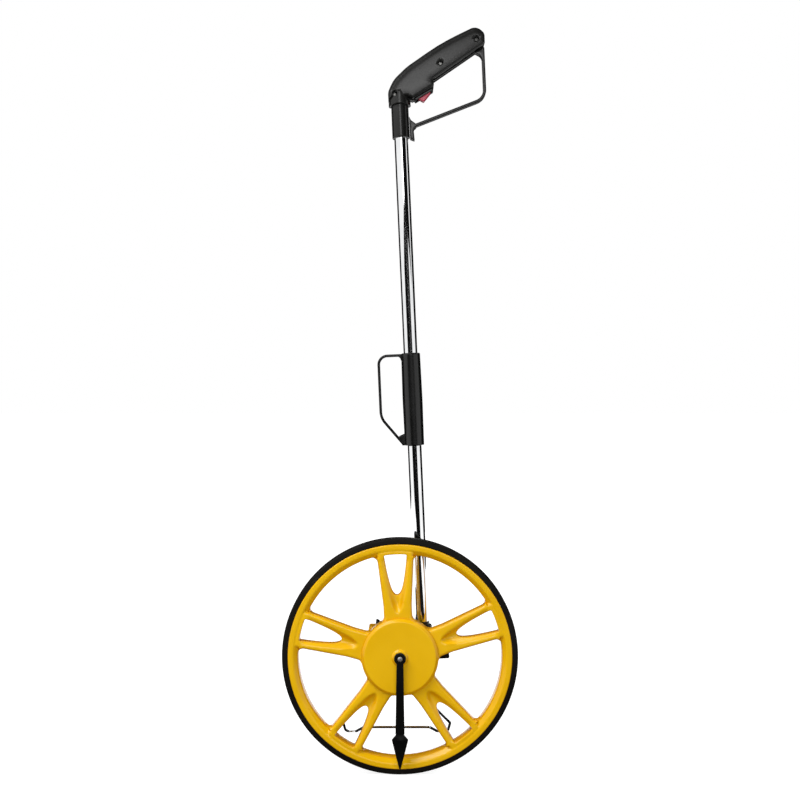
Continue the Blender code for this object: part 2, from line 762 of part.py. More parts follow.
def make_axle(axle_frame):
    """The fixed axle with its washers and nut. Its thinner front end is the pointer's pivot."""
    full, thin = axle_diameter / 2, pointer_pin_diameter / 2
    end = nut_back - axle_end
    shaft = turned("axle", [(0, pointer_front + gap), (thin, pointer_front + gap), (thin, washer_front),
                            (full, washer_front), (full, end), (0, end)], "zinc_steel", axle_frame)
    hole = pointer_screw_diameter / 2 + gap
    cut(shaft, cylinder("pointer_screw_hole", hole, pointer_front - pointer_screw_length - gap,
                        pointer_front + overrun, None, axle_frame, steps=12))
    ring("hub_washer", axle_bore, hub_washer_diameter / 2, boss_front + gap, washer_front, "zinc_steel",
         axle_frame)
    ring("thrust_washer", axle_bore, thrust_washer_diameter / 2, thrust_back, thrust_front, "brass",
         axle_frame)
    ring("axle_washer", axle_bore, axle_washer_diameter / 2, nut_front + gap, boss_back - gap, "zinc_steel",
         axle_frame)
    hexagon = circle(axle_nut_width / 2 / math.cos(math.pi / 6), 6)
    plate("axle_nut", [hexagon, circle(axle_bore)], nut_back, nut_front, "zinc_steel", axle_frame)
    screw("pointer_screw", pointer_screw_head_diameter, pointer_screw_head_height, pointer_screw_diameter,
          pointer_screw_length, "zinc_steel", axle_frame, (0, 0, pointer_front + 2 * gap), steps=16)


def make_pointer(pointer_frame):
    """The pointer that hangs from the axle's front end: an eye, a tapering arm and a ridged arrowhead."""
    eye = pointer_eye_diameter / 2
    neck = pointer_length - pointer_head_length
    barb = neck + pointer_barb_length
    half_eye, half_arm = pointer_width_at_eye / 2, pointer_width_at_head / 2
    half_neck, half_head = pointer_neck_width / 2, pointer_head_width / 2
    start = math.asin(half_eye / eye)
    around = [-math.pi / 2 + start + (math.tau - 2 * start) * i / 16 for i in range(17)]
    outline = [(eye * math.cos(a), eye * math.sin(a)) for a in around]
    outline += [(-half_arm, -neck + pointer_barb_length / 3), (-half_neck, -neck), (-half_head, -barb)]
    outline += [(-half_arm / 5, -pointer_length), (half_arm / 5, -pointer_length)]
    outline += [(half_head, -barb), (half_neck, -neck), (half_arm, -neck + pointer_barb_length / 3)]
    arm = plate("pointer_arm", [outline, circle(pointer_bore, 16)], pointer_back, pointer_front,
                "satin_black", pointer_frame)
    ridge = bmesh.new()
    places = [(0, -neck, 0), (-half_head + overrun, -barb, 0), (0, -pointer_length + overrun, 0)]
    places += [(half_head - overrun, -barb, 0), (0, -barb, pointer_head_ridge)]
    places += [(x, y, -pointer_thickness / 2) for x, y, _ in places[:4]]
    bmesh.ops.convex_hull(ridge, input=[ridge.verts.new(place_of) for place_of in places])
    mesh = bpy.data.meshes.new("pointer_ridge")
    ridge.to_mesh(mesh)
    ridge.free()
    join(arm, place("pointer_ridge", mesh, None, pointer_frame, (0, 0, pointer_front)))


def make_bracket(axle_frame, shaft_frame):
    """The black bracket: a gear case round the axle, the tube's socket and its clamp ear."""
    front, back = -bracket_front, -bracket_back
    radius = bracket_diameter / 2
    case = cylinder("axle_bracket", radius, back, front, "black_plastic", axle_frame, steps=48)
    hollow = cylinder("bracket_hollow", radius - bracket_wall, back - overrun, front - bracket_plate, None,
                      axle_frame, steps=48)
    boss = cylinder("bracket_boss", bracket_boss_diameter / 2, boss_back, front - bracket_plate / 2, None,
                    axle_frame)
    front_boss = cylinder("bracket_front_boss", bracket_front_boss / 2, front - bracket_plate / 2,
                          thrust_back - gap, None, axle_frame)
    bore = cylinder("axle_hole", axle_bore, back, 0, None, axle_frame)
    shaft_hole = cylinder("counter_shaft_hole", counter_bore, back, 0, None, axle_frame,
                          (counter_offset_x, counter_offset_z, 0), steps=16)
    socket = cylinder("tube_socket", socket_diameter / 2, -socket_below, socket_above, None, shaft_frame,
                      turn=along_y, steps=32)
    socket_hole = cylinder("tube_socket_hole", tube_bore, socket_floor - socket_below, radius, None,
                           shaft_frame, turn=along_y, steps=32)
    foot = clamp_reach
    head = clamp_reach - clamp_slope * (clamp_above + clamp_below) / clamp_above
    outline = [(0, -clamp_below), (foot, -clamp_below), (head, clamp_above), (0, clamp_above)]
    ear = plate("clamp_ear", [outline], -clamp_depth / 2, clamp_depth / 2, None, shaft_frame)
    slit = box("clamp_slit", (0, -clamp_below - overrun, -clamp_slit / 2),
               (clamp_reach + overrun, clamp_above + overrun, clamp_slit / 2), None, shaft_frame)
    bolt_hole = cylinder("clamp_bolt_hole", clamp_bolt_diameter / 2 + gap, -clamp_depth, clamp_depth, None,
                         shaft_frame, (clamp_bolt_reach, 0, 0), steps=12)
    cut(case, hollow)
    join(case, boss, front_boss, socket, ear)
    for i, (x, y) in enumerate(bracket_screw_places):
        join(case, cylinder(f"bracket_post_{i}", bracket_post_diameter / 2, back, front - bracket_plate / 2,
                            None, axle_frame, (x, y, 0), steps=16))
    cut(case, bore, shaft_hole, socket_hole, slit, bolt_hole)
    for i, (x, y) in enumerate(bracket_screw_places):
        cut(case, cylinder(f"bracket_post_hole_{i}", screw_bore, back - overrun, 0, None, axle_frame,
                           (x, y, 0), steps=12))
        screw(f"bracket_screw_{i + 1}", screw_head_diameter, screw_head_height, screw_diameter,
              bracket_depth + housing_wall, "zinc_steel", axle_frame, (x, y, front + gap))
    half = clamp_depth / 2 + gap
    screw("clamp_bolt", clamp_bolt_head_diameter, clamp_bolt_head_height, clamp_bolt_diameter,
          2 * half + clamp_nut_height, "zinc_steel", shaft_frame, (clamp_bolt_reach, 0, half))
    hexagon = circle(clamp_nut_width / 2 / math.cos(math.pi / 6), 6)
    plate("clamp_nut", [hexagon, circle(clamp_bolt_diameter / 2 + gap, 12)], -half - clamp_nut_height, -half,
          "zinc_steel", shaft_frame, (clamp_bolt_reach, 0, 0))


def cover_screw_places():
    """The four corners where the counter's rear cover is screwed to the housing."""
    inset_by = cover_screw_inset
    return [(x, z) for x in (housing_left + inset_by, housing_right - inset_by)
            for z in (housing_bottom + inset_by, housing_top - inset_by)]


def make_housing(ground, axle_frame):
    """The counter's housing, its rear cover and its window."""
    radius = housing_corner_radius
    corners = [(housing_left, housing_bottom, radius), (housing_right, housing_bottom, radius)]
    corners += [(housing_right, housing_top, radius), (housing_left, housing_top, radius)]
    outline = rounded(corners)
    shell = plate("counter_housing", [outline], -housing_back, -housing_front, "yellow_plastic", ground,
                  turn=facing_front)
    left, right = housing_left + housing_wall, housing_right - housing_wall
    bottom, top, post = housing_bottom + housing_wall, housing_top - housing_wall, housing_post
    front, back = housing_front + housing_wall, housing_back + overrun
    cut(shell, box("housing_cavity", (left + post, front, bottom), (right - post, back, top), None, ground))
    cut(shell, box("housing_sides", (left, front, bottom + post), (right, back, top - post), None, ground))
    window_y = drums_front + drum_count * drum_pitch / 2
    low = (counter_x - window_length / 2, window_y - window_width / 2, top - overrun)
    high = (counter_x + window_length / 2, window_y + window_width / 2, housing_top + overrun)
    cut(shell, box("window_hole", low, high, None, ground))
    low, high = -housing_front - housing_wall - overrun, -housing_front + overrun
    bush_at = (counter_offset_x, counter_offset_z, 0)
    cut(shell, cylinder("housing_bush_hole", shaft_bush_radius + gap, low, high, None, axle_frame, bush_at))
    for i, (x, y) in enumerate(bracket_screw_places):
        cut(shell, cylinder(f"housing_front_hole_{i}", screw_bore, low, high, None, axle_frame, (x, y, 0),
                            steps=12))

    cover = plate("housing_cover", [outline], -cover_outside, -housing_back - gap, "yellow_plastic", ground,
                  turn=facing_front)
    cut(cover, cylinder("cover_bush_hole", shaft_bush_radius + gap, -cover_outside - overrun, -housing_back,
                        None, axle_frame, bush_at))
    for i, (x, z) in enumerate(cover_screw_places()):
        depth = cover_thickness + gap + screw_length
        cut(shell, cylinder(f"housing_screw_hole_{i}", screw_bore, -overrun, depth, None, ground,
                            (x, cover_outside, z), facing_front, 12))
        cut(cover, cylinder(f"cover_screw_hole_{i}", screw_bore, -overrun, depth, None, ground,
                            (x, cover_outside, z), facing_front, 12))
        screw(f"cover_screw_{i + 1}", screw_head_diameter, screw_head_height, screw_diameter, screw_length,
              "zinc_steel", ground, (x, cover_outside + gap, z), along_y)

    half_lens = (window_length / 2 + lens_border, window_width / 2 + lens_border)
    lens_at = (counter_x, window_y, housing_top + gap)
    box("window_lens", (-half_lens[0], -half_lens[1], 0), (half_lens[0], half_lens[1], lens_thickness),
        "clear_plastic", ground, lens_at)
    inner_x, inner_y = [half + gap for half in half_lens]
    outer_x, soft = inner_x + bezel_border, window_bezel_rounding
    low, high = housing_front + gap - window_y, housing_back - gap - window_y
    outer = [(-outer_x, low, soft), (outer_x, low, soft), (outer_x, high, soft), (-outer_x, high, soft)]
    inner = [(-inner_x, -inner_y), (inner_x, -inner_y), (inner_x, inner_y), (-inner_x, inner_y)]
    plate("window_bezel", [rounded(outer), inner], 0, window_bezel_height, "black_plastic", ground, lens_at)


def make_counter(counter_frame, drum_frames, knob_frame):
    """The counter's shaft with its first drum, the drums that ride on it, its bushes and the reset knob."""
    start = gear_front - gap
    end = -cover_outside
    cylinder("counter_shaft", counter_shaft_diameter / 2, end, start, "zinc_steel", counter_frame, steps=16)
    for i, name in enumerate(drum_names):
        low = -drums_front - (drum_count - i) * drum_pitch + drum_space / 2
        high = low + drum_pitch - drum_space
        ring(f"drum_{name}", counter_bore, drum_radius, low, high, "drum_white", drum_frames[i], steps=40)
    front = -housing_front
    ring("shaft_bush_front", counter_bore, shaft_bush_radius, front - housing_wall, front + gap, "brass",
         counter_frame, steps=16)
    ring("shaft_bush_rear", counter_bore, shaft_bush_radius, end, end + shaft_bush_length, "brass",
         counter_frame, steps=16)
    outline = []
    for i in range(reset_knob_flutes * 2):
        angle = math.pi * i / reset_knob_flutes
        radius = reset_knob_diameter / 2 - (reset_knob_flute if i % 2 else 0)
        outline.append((radius * math.cos(angle), radius * math.sin(angle)))
    plate("reset_knob", [outline], end - gap - reset_knob_height, end - gap, "black_plastic", knob_frame,
          edge=reset_knob_flute / 2)


def make_stand(ground, stand_frame, housing):
    """The bent wire stand and the bracket under the counter that it turns in."""
    depth = stand_length
    half, foot, toe = stand_half_width, stand_foot_half_width, stand_toe_radius
    right = [(half - stand_end_length, 0, 0), (half, 0, stand_wire_diameter * 0.8)]
    right += [(foot, stand_knee - depth, stand_knee_radius), (foot - toe / 4, -depth, toe)]
    right += [(stand_foot_inner, -depth, toe / 2)]
    right += [(stand_bar_half_width, stand_bar_lift - depth, stand_bar_radius)]
    left = [(-x, y, radius) for x, y, radius in right[::-1]]
    path = rounded(right + left, closed=False, step=math.radians(20))
    wire("stand_wire", [(x, y, 0) for x, y in path], stand_wire_radius, "chrome", stand_frame)

    top = housing_bottom - gap
    base_half = stand_half_width - stand_wire_radius - gap
    back = stand_hinge_y - stand_lug_radius
    base = box("stand_bracket", (-base_half, back - stand_bracket_length, top - stand_bracket_thickness),
               (base_half, back, top), "black_plastic", ground, (stand_centre, 0, 0))
    radius = stand_lug_radius
    z = stand_hinge_z
    root = back - stand_bracket_length / 2
    lug = [(root, top), (root, top - stand_bracket_thickness)]
    lug += arc((stand_hinge_y, z), (stand_hinge_y, z - radius), (stand_hinge_y + radius, z), 4)
    lug += arc((stand_hinge_y, z), (stand_hinge_y + radius, z), (stand_hinge_y, z + radius), 4)
    lug += [(back, top - stand_bracket_thickness / 2), (back, top)]
    for side in (-1, 1):
        low, high = sorted((side * base_half, side * (base_half - stand_lug_thickness)))
        name = "left" if side < 0 else "right"
        join(base, plate(f"stand_lug_{name}", [lug], low, high, None, ground, (stand_centre, 0, 0), facing_x))
    cut(base, cylinder("stand_hinge_hole", stand_bore, -stand_half_width, stand_half_width, None, ground,
                       (stand_centre, stand_hinge_y, stand_hinge_z), along_x, 12))
    screw_y = root - stand_bracket_length / 4
    for i, x in enumerate((-base_half / 2, base_half / 2)):
        at = (stand_centre + x, screw_y, top - stand_bracket_thickness)
        depth = stand_bracket_thickness + gap + housing_wall
        for owner, name in ((base, "stand_base_hole"), (housing, "housing_floor_hole")):
            hole = cylinder(f"{name}_{i}", screw_bore, -overrun, depth + overrun, None, ground, at, steps=12)
            cut(owner, hole)
        screw(f"stand_screw_{i + 1}", screw_head_diameter, screw_head_height, screw_diameter, depth,
              "zinc_steel", ground, (at[0], at[1], at[2] - gap), upside_down)


def make_lower_shaft(shaft_frame):
    """The lower tube, and the fork in its top with the sleeve's cone-shaped seat."""
    foot = socket_floor - socket_below + gap
    seat = sleeve_foot
    ring("lower_tube", tube_inner, tube_diameter / 2, foot, seat - gap, "chrome", shaft_frame, turn=along_y,
         steps=32)
    plug = tube_inner - gap
    top = seat + seat_height
    profile = [(0, top), (seat_top_radius, top), (seat_diameter / 2, seat), (plug, seat)]
    profile += [(plug, seat - hinge_plug_length), (0, seat - hinge_plug_length)]
    fork = turned("hinge_fork", profile, "black_plastic", shaft_frame, turn=along_y, steps=32)
    x, z = fork_half_width, fork_half_depth
    outline = [(-x, seat + seat_height / 2), (x, seat + seat_height / 2), (x, hinge_height)]
    outline += arc((0, hinge_height), (x, hinge_height), (0, hinge_height + x), 4)[1:]
    outline += arc((0, hinge_height), (0, hinge_height + x), (-x, hinge_height), 4)[1:]
    join(fork, plate("fork_cheeks", [outline], -z, z, None, shaft_frame))
    cut(fork, box("fork_slot", (-2 * x, hinge_height - fork_slot_below, -fork_slot / 2),
                  (2 * x, hinge_height + 2 * x, fork_slot / 2), None, shaft_frame))
    cut(fork, cylinder("fork_pin_hole", hinge_bore, -tube_diameter, tube_diameter, None, shaft_frame,
                       (0, hinge_height, 0), steps=16))
    cylinder("hinge_pin", hinge_pin_diameter / 2, -hinge_pin_length / 2, hinge_pin_length / 2, "zinc_steel",
             shaft_frame, (0, hinge_height, 0), steps=16)


def make_upper_shaft(fold_frame):
    """The upper tube and the tongue in its foot. Heights here start at the hinge."""
    foot = upper_tube_above_hinge
    head = handle_above_hinge + handle_socket_head - upper_tube_head
    ring("upper_tube", tube_inner, tube_diameter / 2, foot, head, "chrome", fold_frame, turn=along_y,
         steps=32)
    plug = tube_inner - gap
    shoulder = tube_diameter / 2 - gap
    low = foot - gap - tongue_shoulder
    profile = [(0, foot + hinge_plug_length), (plug, foot + hinge_plug_length), (plug, foot - gap)]
    profile += [(shoulder, foot - gap), (shoulder, low), (0, low)]
    tongue = turned("hinge_tongue", profile, "black_plastic", fold_frame, turn=along_y, steps=32)
    x, z, eye = tongue_half_width, tongue_half_depth, tongue_eye_radius
    outline = [(x, low + tongue_shoulder / 2), (-x, low + tongue_shoulder / 2), (-x, 0)]
    outline += arc((0, 0), (-eye, 0), (0, -eye), 4)
    outline += arc((0, 0), (0, -eye), (eye, 0), 4)[1:]
    outline += [(x, 0)]
    join(tongue, plate("tongue_blade", [outline], -z, z, None, fold_frame))
    cut(tongue, cylinder("tongue_pin_hole", hinge_bore, -tube_diameter, tube_diameter, None, fold_frame,
                         steps=16))


def make_sleeve(sleeve_frame):
    """The sleeve that slides down over the hinge, and its carrying bow. Heights start at the hinge."""
    foot = -hinge_above_foot
    top = foot + sleeve_length
    lower, upper, soft = sleeve_diameter_below / 2, sleeve_diameter_above / 2, sleeve_rounding
    mouth = seat_diameter / 2 + seat_gap
    cone = (mouth - tube_bore) / math.tan(seat_angle)
    profile = [(tube_bore, top), (upper - soft, top), (upper, top - soft), (lower, foot + soft / 2)]
    profile += [(lower - soft / 3, foot), (mouth, foot), (tube_bore, foot + cone)]
    turned("lock_sleeve", profile, "satin_black", sleeve_frame, turn=along_y, steps=32)

    inner_x = -lower - gap
    outer_x = inner_x - bow_reach
    arm = top - bow_top_below_sleeve_top
    bend = foot + bow_bend_height
    half = bow_thickness / 2
    corners = [(inner_x, arm, 0), (outer_x, arm, bow_top_corner_radius)]
    corners += [(outer_x, bend, bow_bend_radius), (inner_x - half, foot + bow_foot_height, 0)]
    strap = ribbon(rounded(corners, closed=False), bow_thickness)
    bow = plate("carry_bow", [strap], -bow_depth / 2, bow_depth / 2, "satin_black", sleeve_frame)
    tip = (inner_x - bow_gusset_reach, foot + bow_gusset_height * bow_gusset_tip_share)
    gusset = [(inner_x, foot + gap), (inner_x, foot + bow_gusset_height), tip]
    gusset.append((inner_x - bow_thickness, foot + gap))
    join(bow, plate("bow_gusset", [gusset], -bow_depth / 2, bow_depth / 2, None, sleeve_frame))
    cut(bow, box("bow_end", (inner_x, foot - half, -bow_depth), (inner_x + bow_reach, top + half, bow_depth),
                 None, sleeve_frame))
    cut(bow, box("bow_sole", (outer_x - half, foot - bow_reach, -bow_depth),
                 (inner_x + half, foot, bow_depth), None, sleeve_frame))


def on_handle(shares):
    """A place on the handle, from its shares of the handle's reach and rise."""
    return (shares[0] * handle_reach, handle_above_hinge + shares[1] * handle_rise)


def handle_outline():
    """The handle's side view, anticlockwise, without the collar round the tube."""
    back, nape, shoulder, brow, crown = [on_handle(shares) for shares in handle_back_shares]
    tip, heel = [on_handle(shares) for shares in handle_tip_shares]
    under = [on_handle(shares) for shares in handle_under_shares]
    corners = [(*point, 0) for point in under[::-1][:2]]
    corners += [(*point, handle_corner_radius) for point in under[::-1][2:]]
    corners += [(*heel, handle_corner_radius), (*tip, handle_tip_radius)]
    corners += [(*crown, handle_crown_radius), (*brow, handle_brow_radius)]
    corners += [(*shoulder, handle_shoulder_radius), (*nape, handle_nape_radius), (*back, 0)]
    return rounded(corners, step=math.radians(14))


def make_handle(fold_frame, underside, trigger_frame):
    """The tube's top socket, the handle's two half shells and their screws, and the guard bow."""
    half = handle_width / 2
    foot = handle_above_hinge
    outline = handle_outline()
    collar_foot = foot + handle_collar_lift
    collar_top = collar_foot + handle_collar_length
    hollow_edge = handle_wall
    head = foot + handle_socket_head
    for side, name in ((1, "front"), (-1, "rear")):
        shell = plate(f"handle_shell_{name}", [outline], -half, half, "black_plastic", fold_frame,
                      edge=handle_edge, edge_steps=1)
        collar = cylinder(f"handle_collar_{name}", handle_collar_diameter / 2, collar_foot, collar_top, None,
                          fold_frame, turn=along_y, steps=32)
        low, high = sorted((handle_parting / 2 * side, -handle_width * side))
        other_half = box(f"handle_other_half_{name}", (-handle_reach, foot - handle_rise, low),
                         (2 * handle_reach, foot + 2 * handle_rise, high), None, fold_frame)
        hollow = plate(f"handle_hollow_{name}", [inset(outline, hollow_edge)], handle_wall - half,
                       half - handle_wall, None, fold_frame)
        bore = cylinder(f"handle_collar_bore_{name}", handle_socket_diameter / 2 + gap, foot - overrun,
                        head + gap, None, fold_frame, turn=along_y, steps=32)
        join(shell, collar)
        cut(shell, hollow)
        for i, shares in enumerate(handle_screw_shares):
            at = (*on_handle(shares), 0)
            join(shell, cylinder(f"handle_post_{name}_{i}", handle_post_diameter / 2, -half + handle_wall / 2,
                                 half - handle_wall / 2, None, fold_frame, at, steps=16))
            recess = half - handle_screw_recess_depth
            cut(shell, cylinder(f"handle_screw_recess_{name}_{i}", handle_screw_recess_diameter / 2, recess,
                                half + overrun, None, fold_frame, at, steps=16))
            cut(shell, cylinder(f"handle_screw_hole_{name}_{i}", handle_screw_diameter / 2 + gap,
                                recess - handle_screw_length - gap, half, None, fold_frame, at, steps=12))
        well = (bezel_length / 2 - bezel_frame, trigger_width / 2 + 2 * gap)
        cut(shell, bore, box(f"trigger_well_{name}", (-well[0], -bezel_length / 3, -well[1]),
                             (well[0], bezel_length / 3, well[1]), None, underside))
        end = half - handle_wall
        join(shell, cylinder(f"trigger_boss_{name}", trigger_boss_diameter / 2,
                             *sorted((side * (end - trigger_boss_height), side * (end + handle_wall / 2))),
                             None, trigger_frame, steps=16))
        reach = end + trigger_pin_seat
        cut(shell, cylinder(f"trigger_pin_hole_{name}", trigger_pin_diameter / 2 + gap, -reach, reach, None,
                            trigger_frame, steps=12), other_half)
    for i, shares in enumerate(handle_screw_shares):
        screw(f"handle_screw_{i + 1}", handle_screw_head_diameter, handle_screw_head_height,
              handle_screw_diameter, handle_screw_length, "zinc_steel", fold_frame,
              (*on_handle(shares), half - handle_screw_recess_depth + gap))

    low = foot - handle_socket_foot
    ring("handle_socket", tube_bore, handle_socket_diameter / 2, low, head, "black_plastic", fold_frame,
         turn=along_y, steps=32, chamfer=gap)

    top, corner, root = [on_handle(shares) for shares in guard_shares]
    path = rounded([(*top, 0), (*corner, guard_corner_radius), (*root, 0)], closed=False)
    bow = plate("guard_bow", [ribbon(path, guard_thickness)], -guard_depth / 2, guard_depth / 2,
                "black_plastic", fold_frame)
    upper = [on_handle(shares) for shares in guard_root_shares]
    start = handle_socket_diameter / 2 + gap
    lower = [(start + x * handle_reach, foot + y * handle_rise) for x, y in guard_gusset_shares]
    for name, points in (("guard_root", upper), ("guard_gusset", lower)):
        join(bow, plate(name, [points], -guard_depth / 2, guard_depth / 2, None, fold_frame))
    clear = plate("guard_clearance", [inset(outline, -gap)], -half, half, None, fold_frame)
    cut(bow, clear)


def bezel_line(fold_frame, name):
    """A frame on the handle's underside, with X along it away from the tube and Y into the handle."""
    far, near = [Vector(on_handle(shares)) for shares in handle_under_shares[1:3]]
    along = far - near
    at = near + along * bezel_place_share
    return frame(name, fold_frame, (at.x, at.y, 0), (0, 0, math.atan2(along.y, along.x)))


def make_trigger(underside, trigger_frame, pivot):
    """The red trigger, its bezel, its pin and its return spring."""
    half_length, half_width = bezel_length / 2, bezel_width / 2
    outlines = []
    inner = (half_length - bezel_frame + gap, trigger_width / 2 + 2 * gap)
    for (x, y), corner in (((half_length, half_width), bezel_rounding), (inner, 0)):
        outlines.append(rounded([(-x, -y, corner), (x, -y, corner), (x, y, corner), (-x, y, corner)]))
    plate("trigger_bezel", outlines, gap, bezel_height, "black_plastic", underside, turn=facing_front,
          edge=bezel_rounding / 3)

    half = trigger_width / 2
    outline = [(x * half_length - pivot[0], -y * trigger_nose - pivot[1]) for x, y in trigger_profile_shares]
    lever = plate("trigger", [outline], -half, half, "red_plastic", trigger_frame)
    bore = trigger_pin_diameter / 2 + gap
    join(lever, cylinder("trigger_eye", trigger_eye_radius, -half, half, None, trigger_frame, steps=16))
    cut(lever, cylinder("trigger_bore", bore, -trigger_width, trigger_width, None, trigger_frame, steps=12))
    end = handle_width / 2 - handle_wall + trigger_pin_seat - gap
    cylinder("trigger_pin", trigger_pin_diameter / 2, -end, end, "zinc_steel", trigger_frame, steps=12)
    radius = trigger_pin_diameter / 2 + gap + trigger_spring_wire / 2
    start = half + gap + trigger_spring_wire / 2
    pitch = trigger_spring_wire + gap
    points = []
    for i in range(trigger_spring_turns * 10 + 1):
        angle = math.tau * i / 10
        points.append((radius * math.cos(angle), radius * math.sin(angle), start + pitch * i / 10))
    wire("trigger_spring", points, trigger_spring_wire / 2, "zinc_steel", trigger_frame, sides=1)


def make_model():
    """Builds every piece, each in the frame that carries it."""
    start_scene()
    ground = frame("ground")
    axle_at = (0, 0, axle_height)
    counter_at = (counter_x, 0, counter_z)
    wheel_frame = frame("wheel_axis", at=axle_at, turn=facing_front)
    axle_frame = frame("axle_line", at=axle_at, turn=facing_front)
    pointer_frame = frame("pointer_axis", at=axle_at, turn=facing_front)
    counter_frame = frame("counter_axis", at=counter_at, turn=facing_front)
    drum_frames = [counter_frame]
    drum_frames += [frame(f"drum_axis_{name}", at=counter_at, turn=facing_front) for name in drum_names[1:]]
    knob_frame = frame("knob_axis", at=counter_at, turn=facing_front)
    stand_frame = frame("stand_axis", at=(stand_centre, stand_hinge_y, stand_hinge_z),
                        turn=(math.pi - stand_slope, 0, 0))
    shaft_frame = frame("shaft_line", at=(tube_offset, tube_plane, axle_height),
                        turn=(math.pi / 2, -tube_lean, 0))
    fold_frame = frame("fold_axis", shaft_frame, (0, hinge_height, 0))
    sleeve_frame = frame("sleeve_line", fold_frame)
    underside = bezel_line(fold_frame, "underside")
    pivot = (bezel_length / 2 * trigger_pivot_share, trigger_pin_lift)
    trigger_frame = frame("trigger_axis", underside, (*pivot, 0))

    make_wheel(wheel_frame)
    make_gears(wheel_frame, counter_frame)
    make_axle(axle_frame)
    make_pointer(pointer_frame)
    make_bracket(axle_frame, shaft_frame)
    make_housing(ground, axle_frame)
    make_counter(counter_frame, drum_frames, knob_frame)
    make_stand(ground, stand_frame, bpy.data.objects["counter_housing"])
    make_lower_shaft(shaft_frame)
    make_upper_shaft(fold_frame)
    make_sleeve(sleeve_frame)
    make_handle(fold_frame, underside, trigger_frame)
    make_trigger(underside, trigger_frame, pivot)


make_model()
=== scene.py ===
"""The measuring wheel's finished looks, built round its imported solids, with a pale studio and the camera."""

import json
import math

import bmesh
import bpy
import numpy as np
from mathutils import Matrix, Vector, geometry, kdtree


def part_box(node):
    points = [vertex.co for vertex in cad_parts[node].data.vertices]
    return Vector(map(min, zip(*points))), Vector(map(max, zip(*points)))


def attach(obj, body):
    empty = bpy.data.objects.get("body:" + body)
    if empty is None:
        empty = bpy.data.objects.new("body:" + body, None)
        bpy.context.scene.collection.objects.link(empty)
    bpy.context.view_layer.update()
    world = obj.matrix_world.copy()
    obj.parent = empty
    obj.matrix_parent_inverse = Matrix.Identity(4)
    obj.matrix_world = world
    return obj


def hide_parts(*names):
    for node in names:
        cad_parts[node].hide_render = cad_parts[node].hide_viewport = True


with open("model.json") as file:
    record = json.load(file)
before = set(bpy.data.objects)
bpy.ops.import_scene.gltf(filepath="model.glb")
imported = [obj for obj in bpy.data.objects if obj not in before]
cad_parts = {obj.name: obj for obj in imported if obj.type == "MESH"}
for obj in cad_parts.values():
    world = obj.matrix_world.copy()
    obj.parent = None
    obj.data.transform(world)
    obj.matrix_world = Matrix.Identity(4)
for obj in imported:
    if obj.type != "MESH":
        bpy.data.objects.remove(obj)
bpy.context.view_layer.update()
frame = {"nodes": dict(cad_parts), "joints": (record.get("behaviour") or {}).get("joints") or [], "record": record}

scene = bpy.context.scene
mm = 0.001

# Places and directions from the frame
joints = {joint["name"]: joint for joint in frame["joints"]}
axle = Vector(joints["wheel_spin"]["pos_m"])
counter = Vector(joints["counter_spin"]["pos_m"])
fold = Vector(joints["shaft_fold"]["pos_m"])
stand_hinge = Vector(joints["stand_fold"]["pos_m"])
along_shaft = Vector(joints["sleeve_slide"]["axis"])
across_shaft = Vector((along_shaft.z, 0, -along_shaft.x))
right, rearward, upward = Vector((1, 0, 0)), Vector((0, 1, 0)), Vector((0, 0, 1))

# Sizes in millimetres, the same as the solids'
gap = 0.3
tyre_radius = axle.z / mm
tyre_width = 22
tyre_fit = 0.05
rim_radius = tyre_radius - 8.05
rim_depth = 13.5
rim_inner = rim_radius - rim_depth
rim_half = 12
rim_wall = 3.4
rim_flat = 7.2
rim_slope = 0.9
spoke_count = 5
wheel_turn = math.radians(2.7)
spoke_front = 11.2
spoke_back = -6.8
spoke_rounding = 4
spoke_width_at_hub = 38.4
spoke_width_at_rim = 49.8
spoke_straight = 17
hub_radius = 52.05
hub_boss_height = 2.6
hub_fillet = 9
rim_fillet = 8
fork_width = 30.8
fork_length = 55.6
fork_spread = 0.43
fork_fillet = 2
fork_throat = rim_inner - fork_length
scoop_length = 23.1
scoop_half = 11.2
scoop_depth = 7
scoop_slope = 14
barrel_radius = 16
barrel_back = -10.5
hub_bore = 6.4
hub_cone_top = 8.8
hub_cone_foot = 11.3
hub_chamfer = 4.2
hub_chamfer_drop = 3.6
spoke_waist_radius = 40
spoke_end_start = 2.8
spoke_end_length = 5
spoke_end_drop = 3
scoop_fade = 9
scoop_fullness = 1.2
moulding_edge = 1.2
hollow_inner = 24
hollow_outer = 46
hollow_depth = 1.2
tyre_grooves = (6, 3, 0, -3, -6)
tyre_groove_half = 0.55
tyre_groove_depth = 0.6
tyre_lip = 1.2
tube_radius = 9.5
tube_bore = 8.5
tube_clearance = 9.8
bow_half_width = 5


def line_at(origin, x, y):
    """A frame in millimetres from its X and Y directions, with Z square to both."""
    turn = Matrix((x, y, x.cross(y))).transposed().to_4x4()
    return Matrix.Translation(origin) @ turn @ Matrix.Scale(mm, 4)


wheel_line = line_at(axle, right, upward)
counter_line = line_at(counter, right, upward)
ground_line = line_at(Vector(), right, upward)
shaft_line = line_at(fold, across_shaft, along_shaft)
z_to_y = Matrix.Rotation(-math.pi / 2, 4, "X")


def reach(node, line):
    """A solid's lowest and highest corner in a frame's own directions."""
    back = line.inverted()
    points = np.array([back @ vertex.co for vertex in frame["nodes"][node].data.vertices])
    return Vector(points.min(0)), Vector(points.max(0))


# Outlines


def arc(centre, start, end, steps):
    """Points on the short arc about a centre from start to end."""
    centre, start, end = Vector(centre), Vector(start), Vector(end)
    first = math.atan2(*(start - centre).yx)
    sweep = math.remainder(math.atan2(*(end - centre).yx) - first, math.tau)
    radius = (start - centre).length
    angles = [first + sweep * i / steps for i in range(steps + 1)]
    return [(centre.x + radius * math.cos(a), centre.y + radius * math.sin(a)) for a in angles]


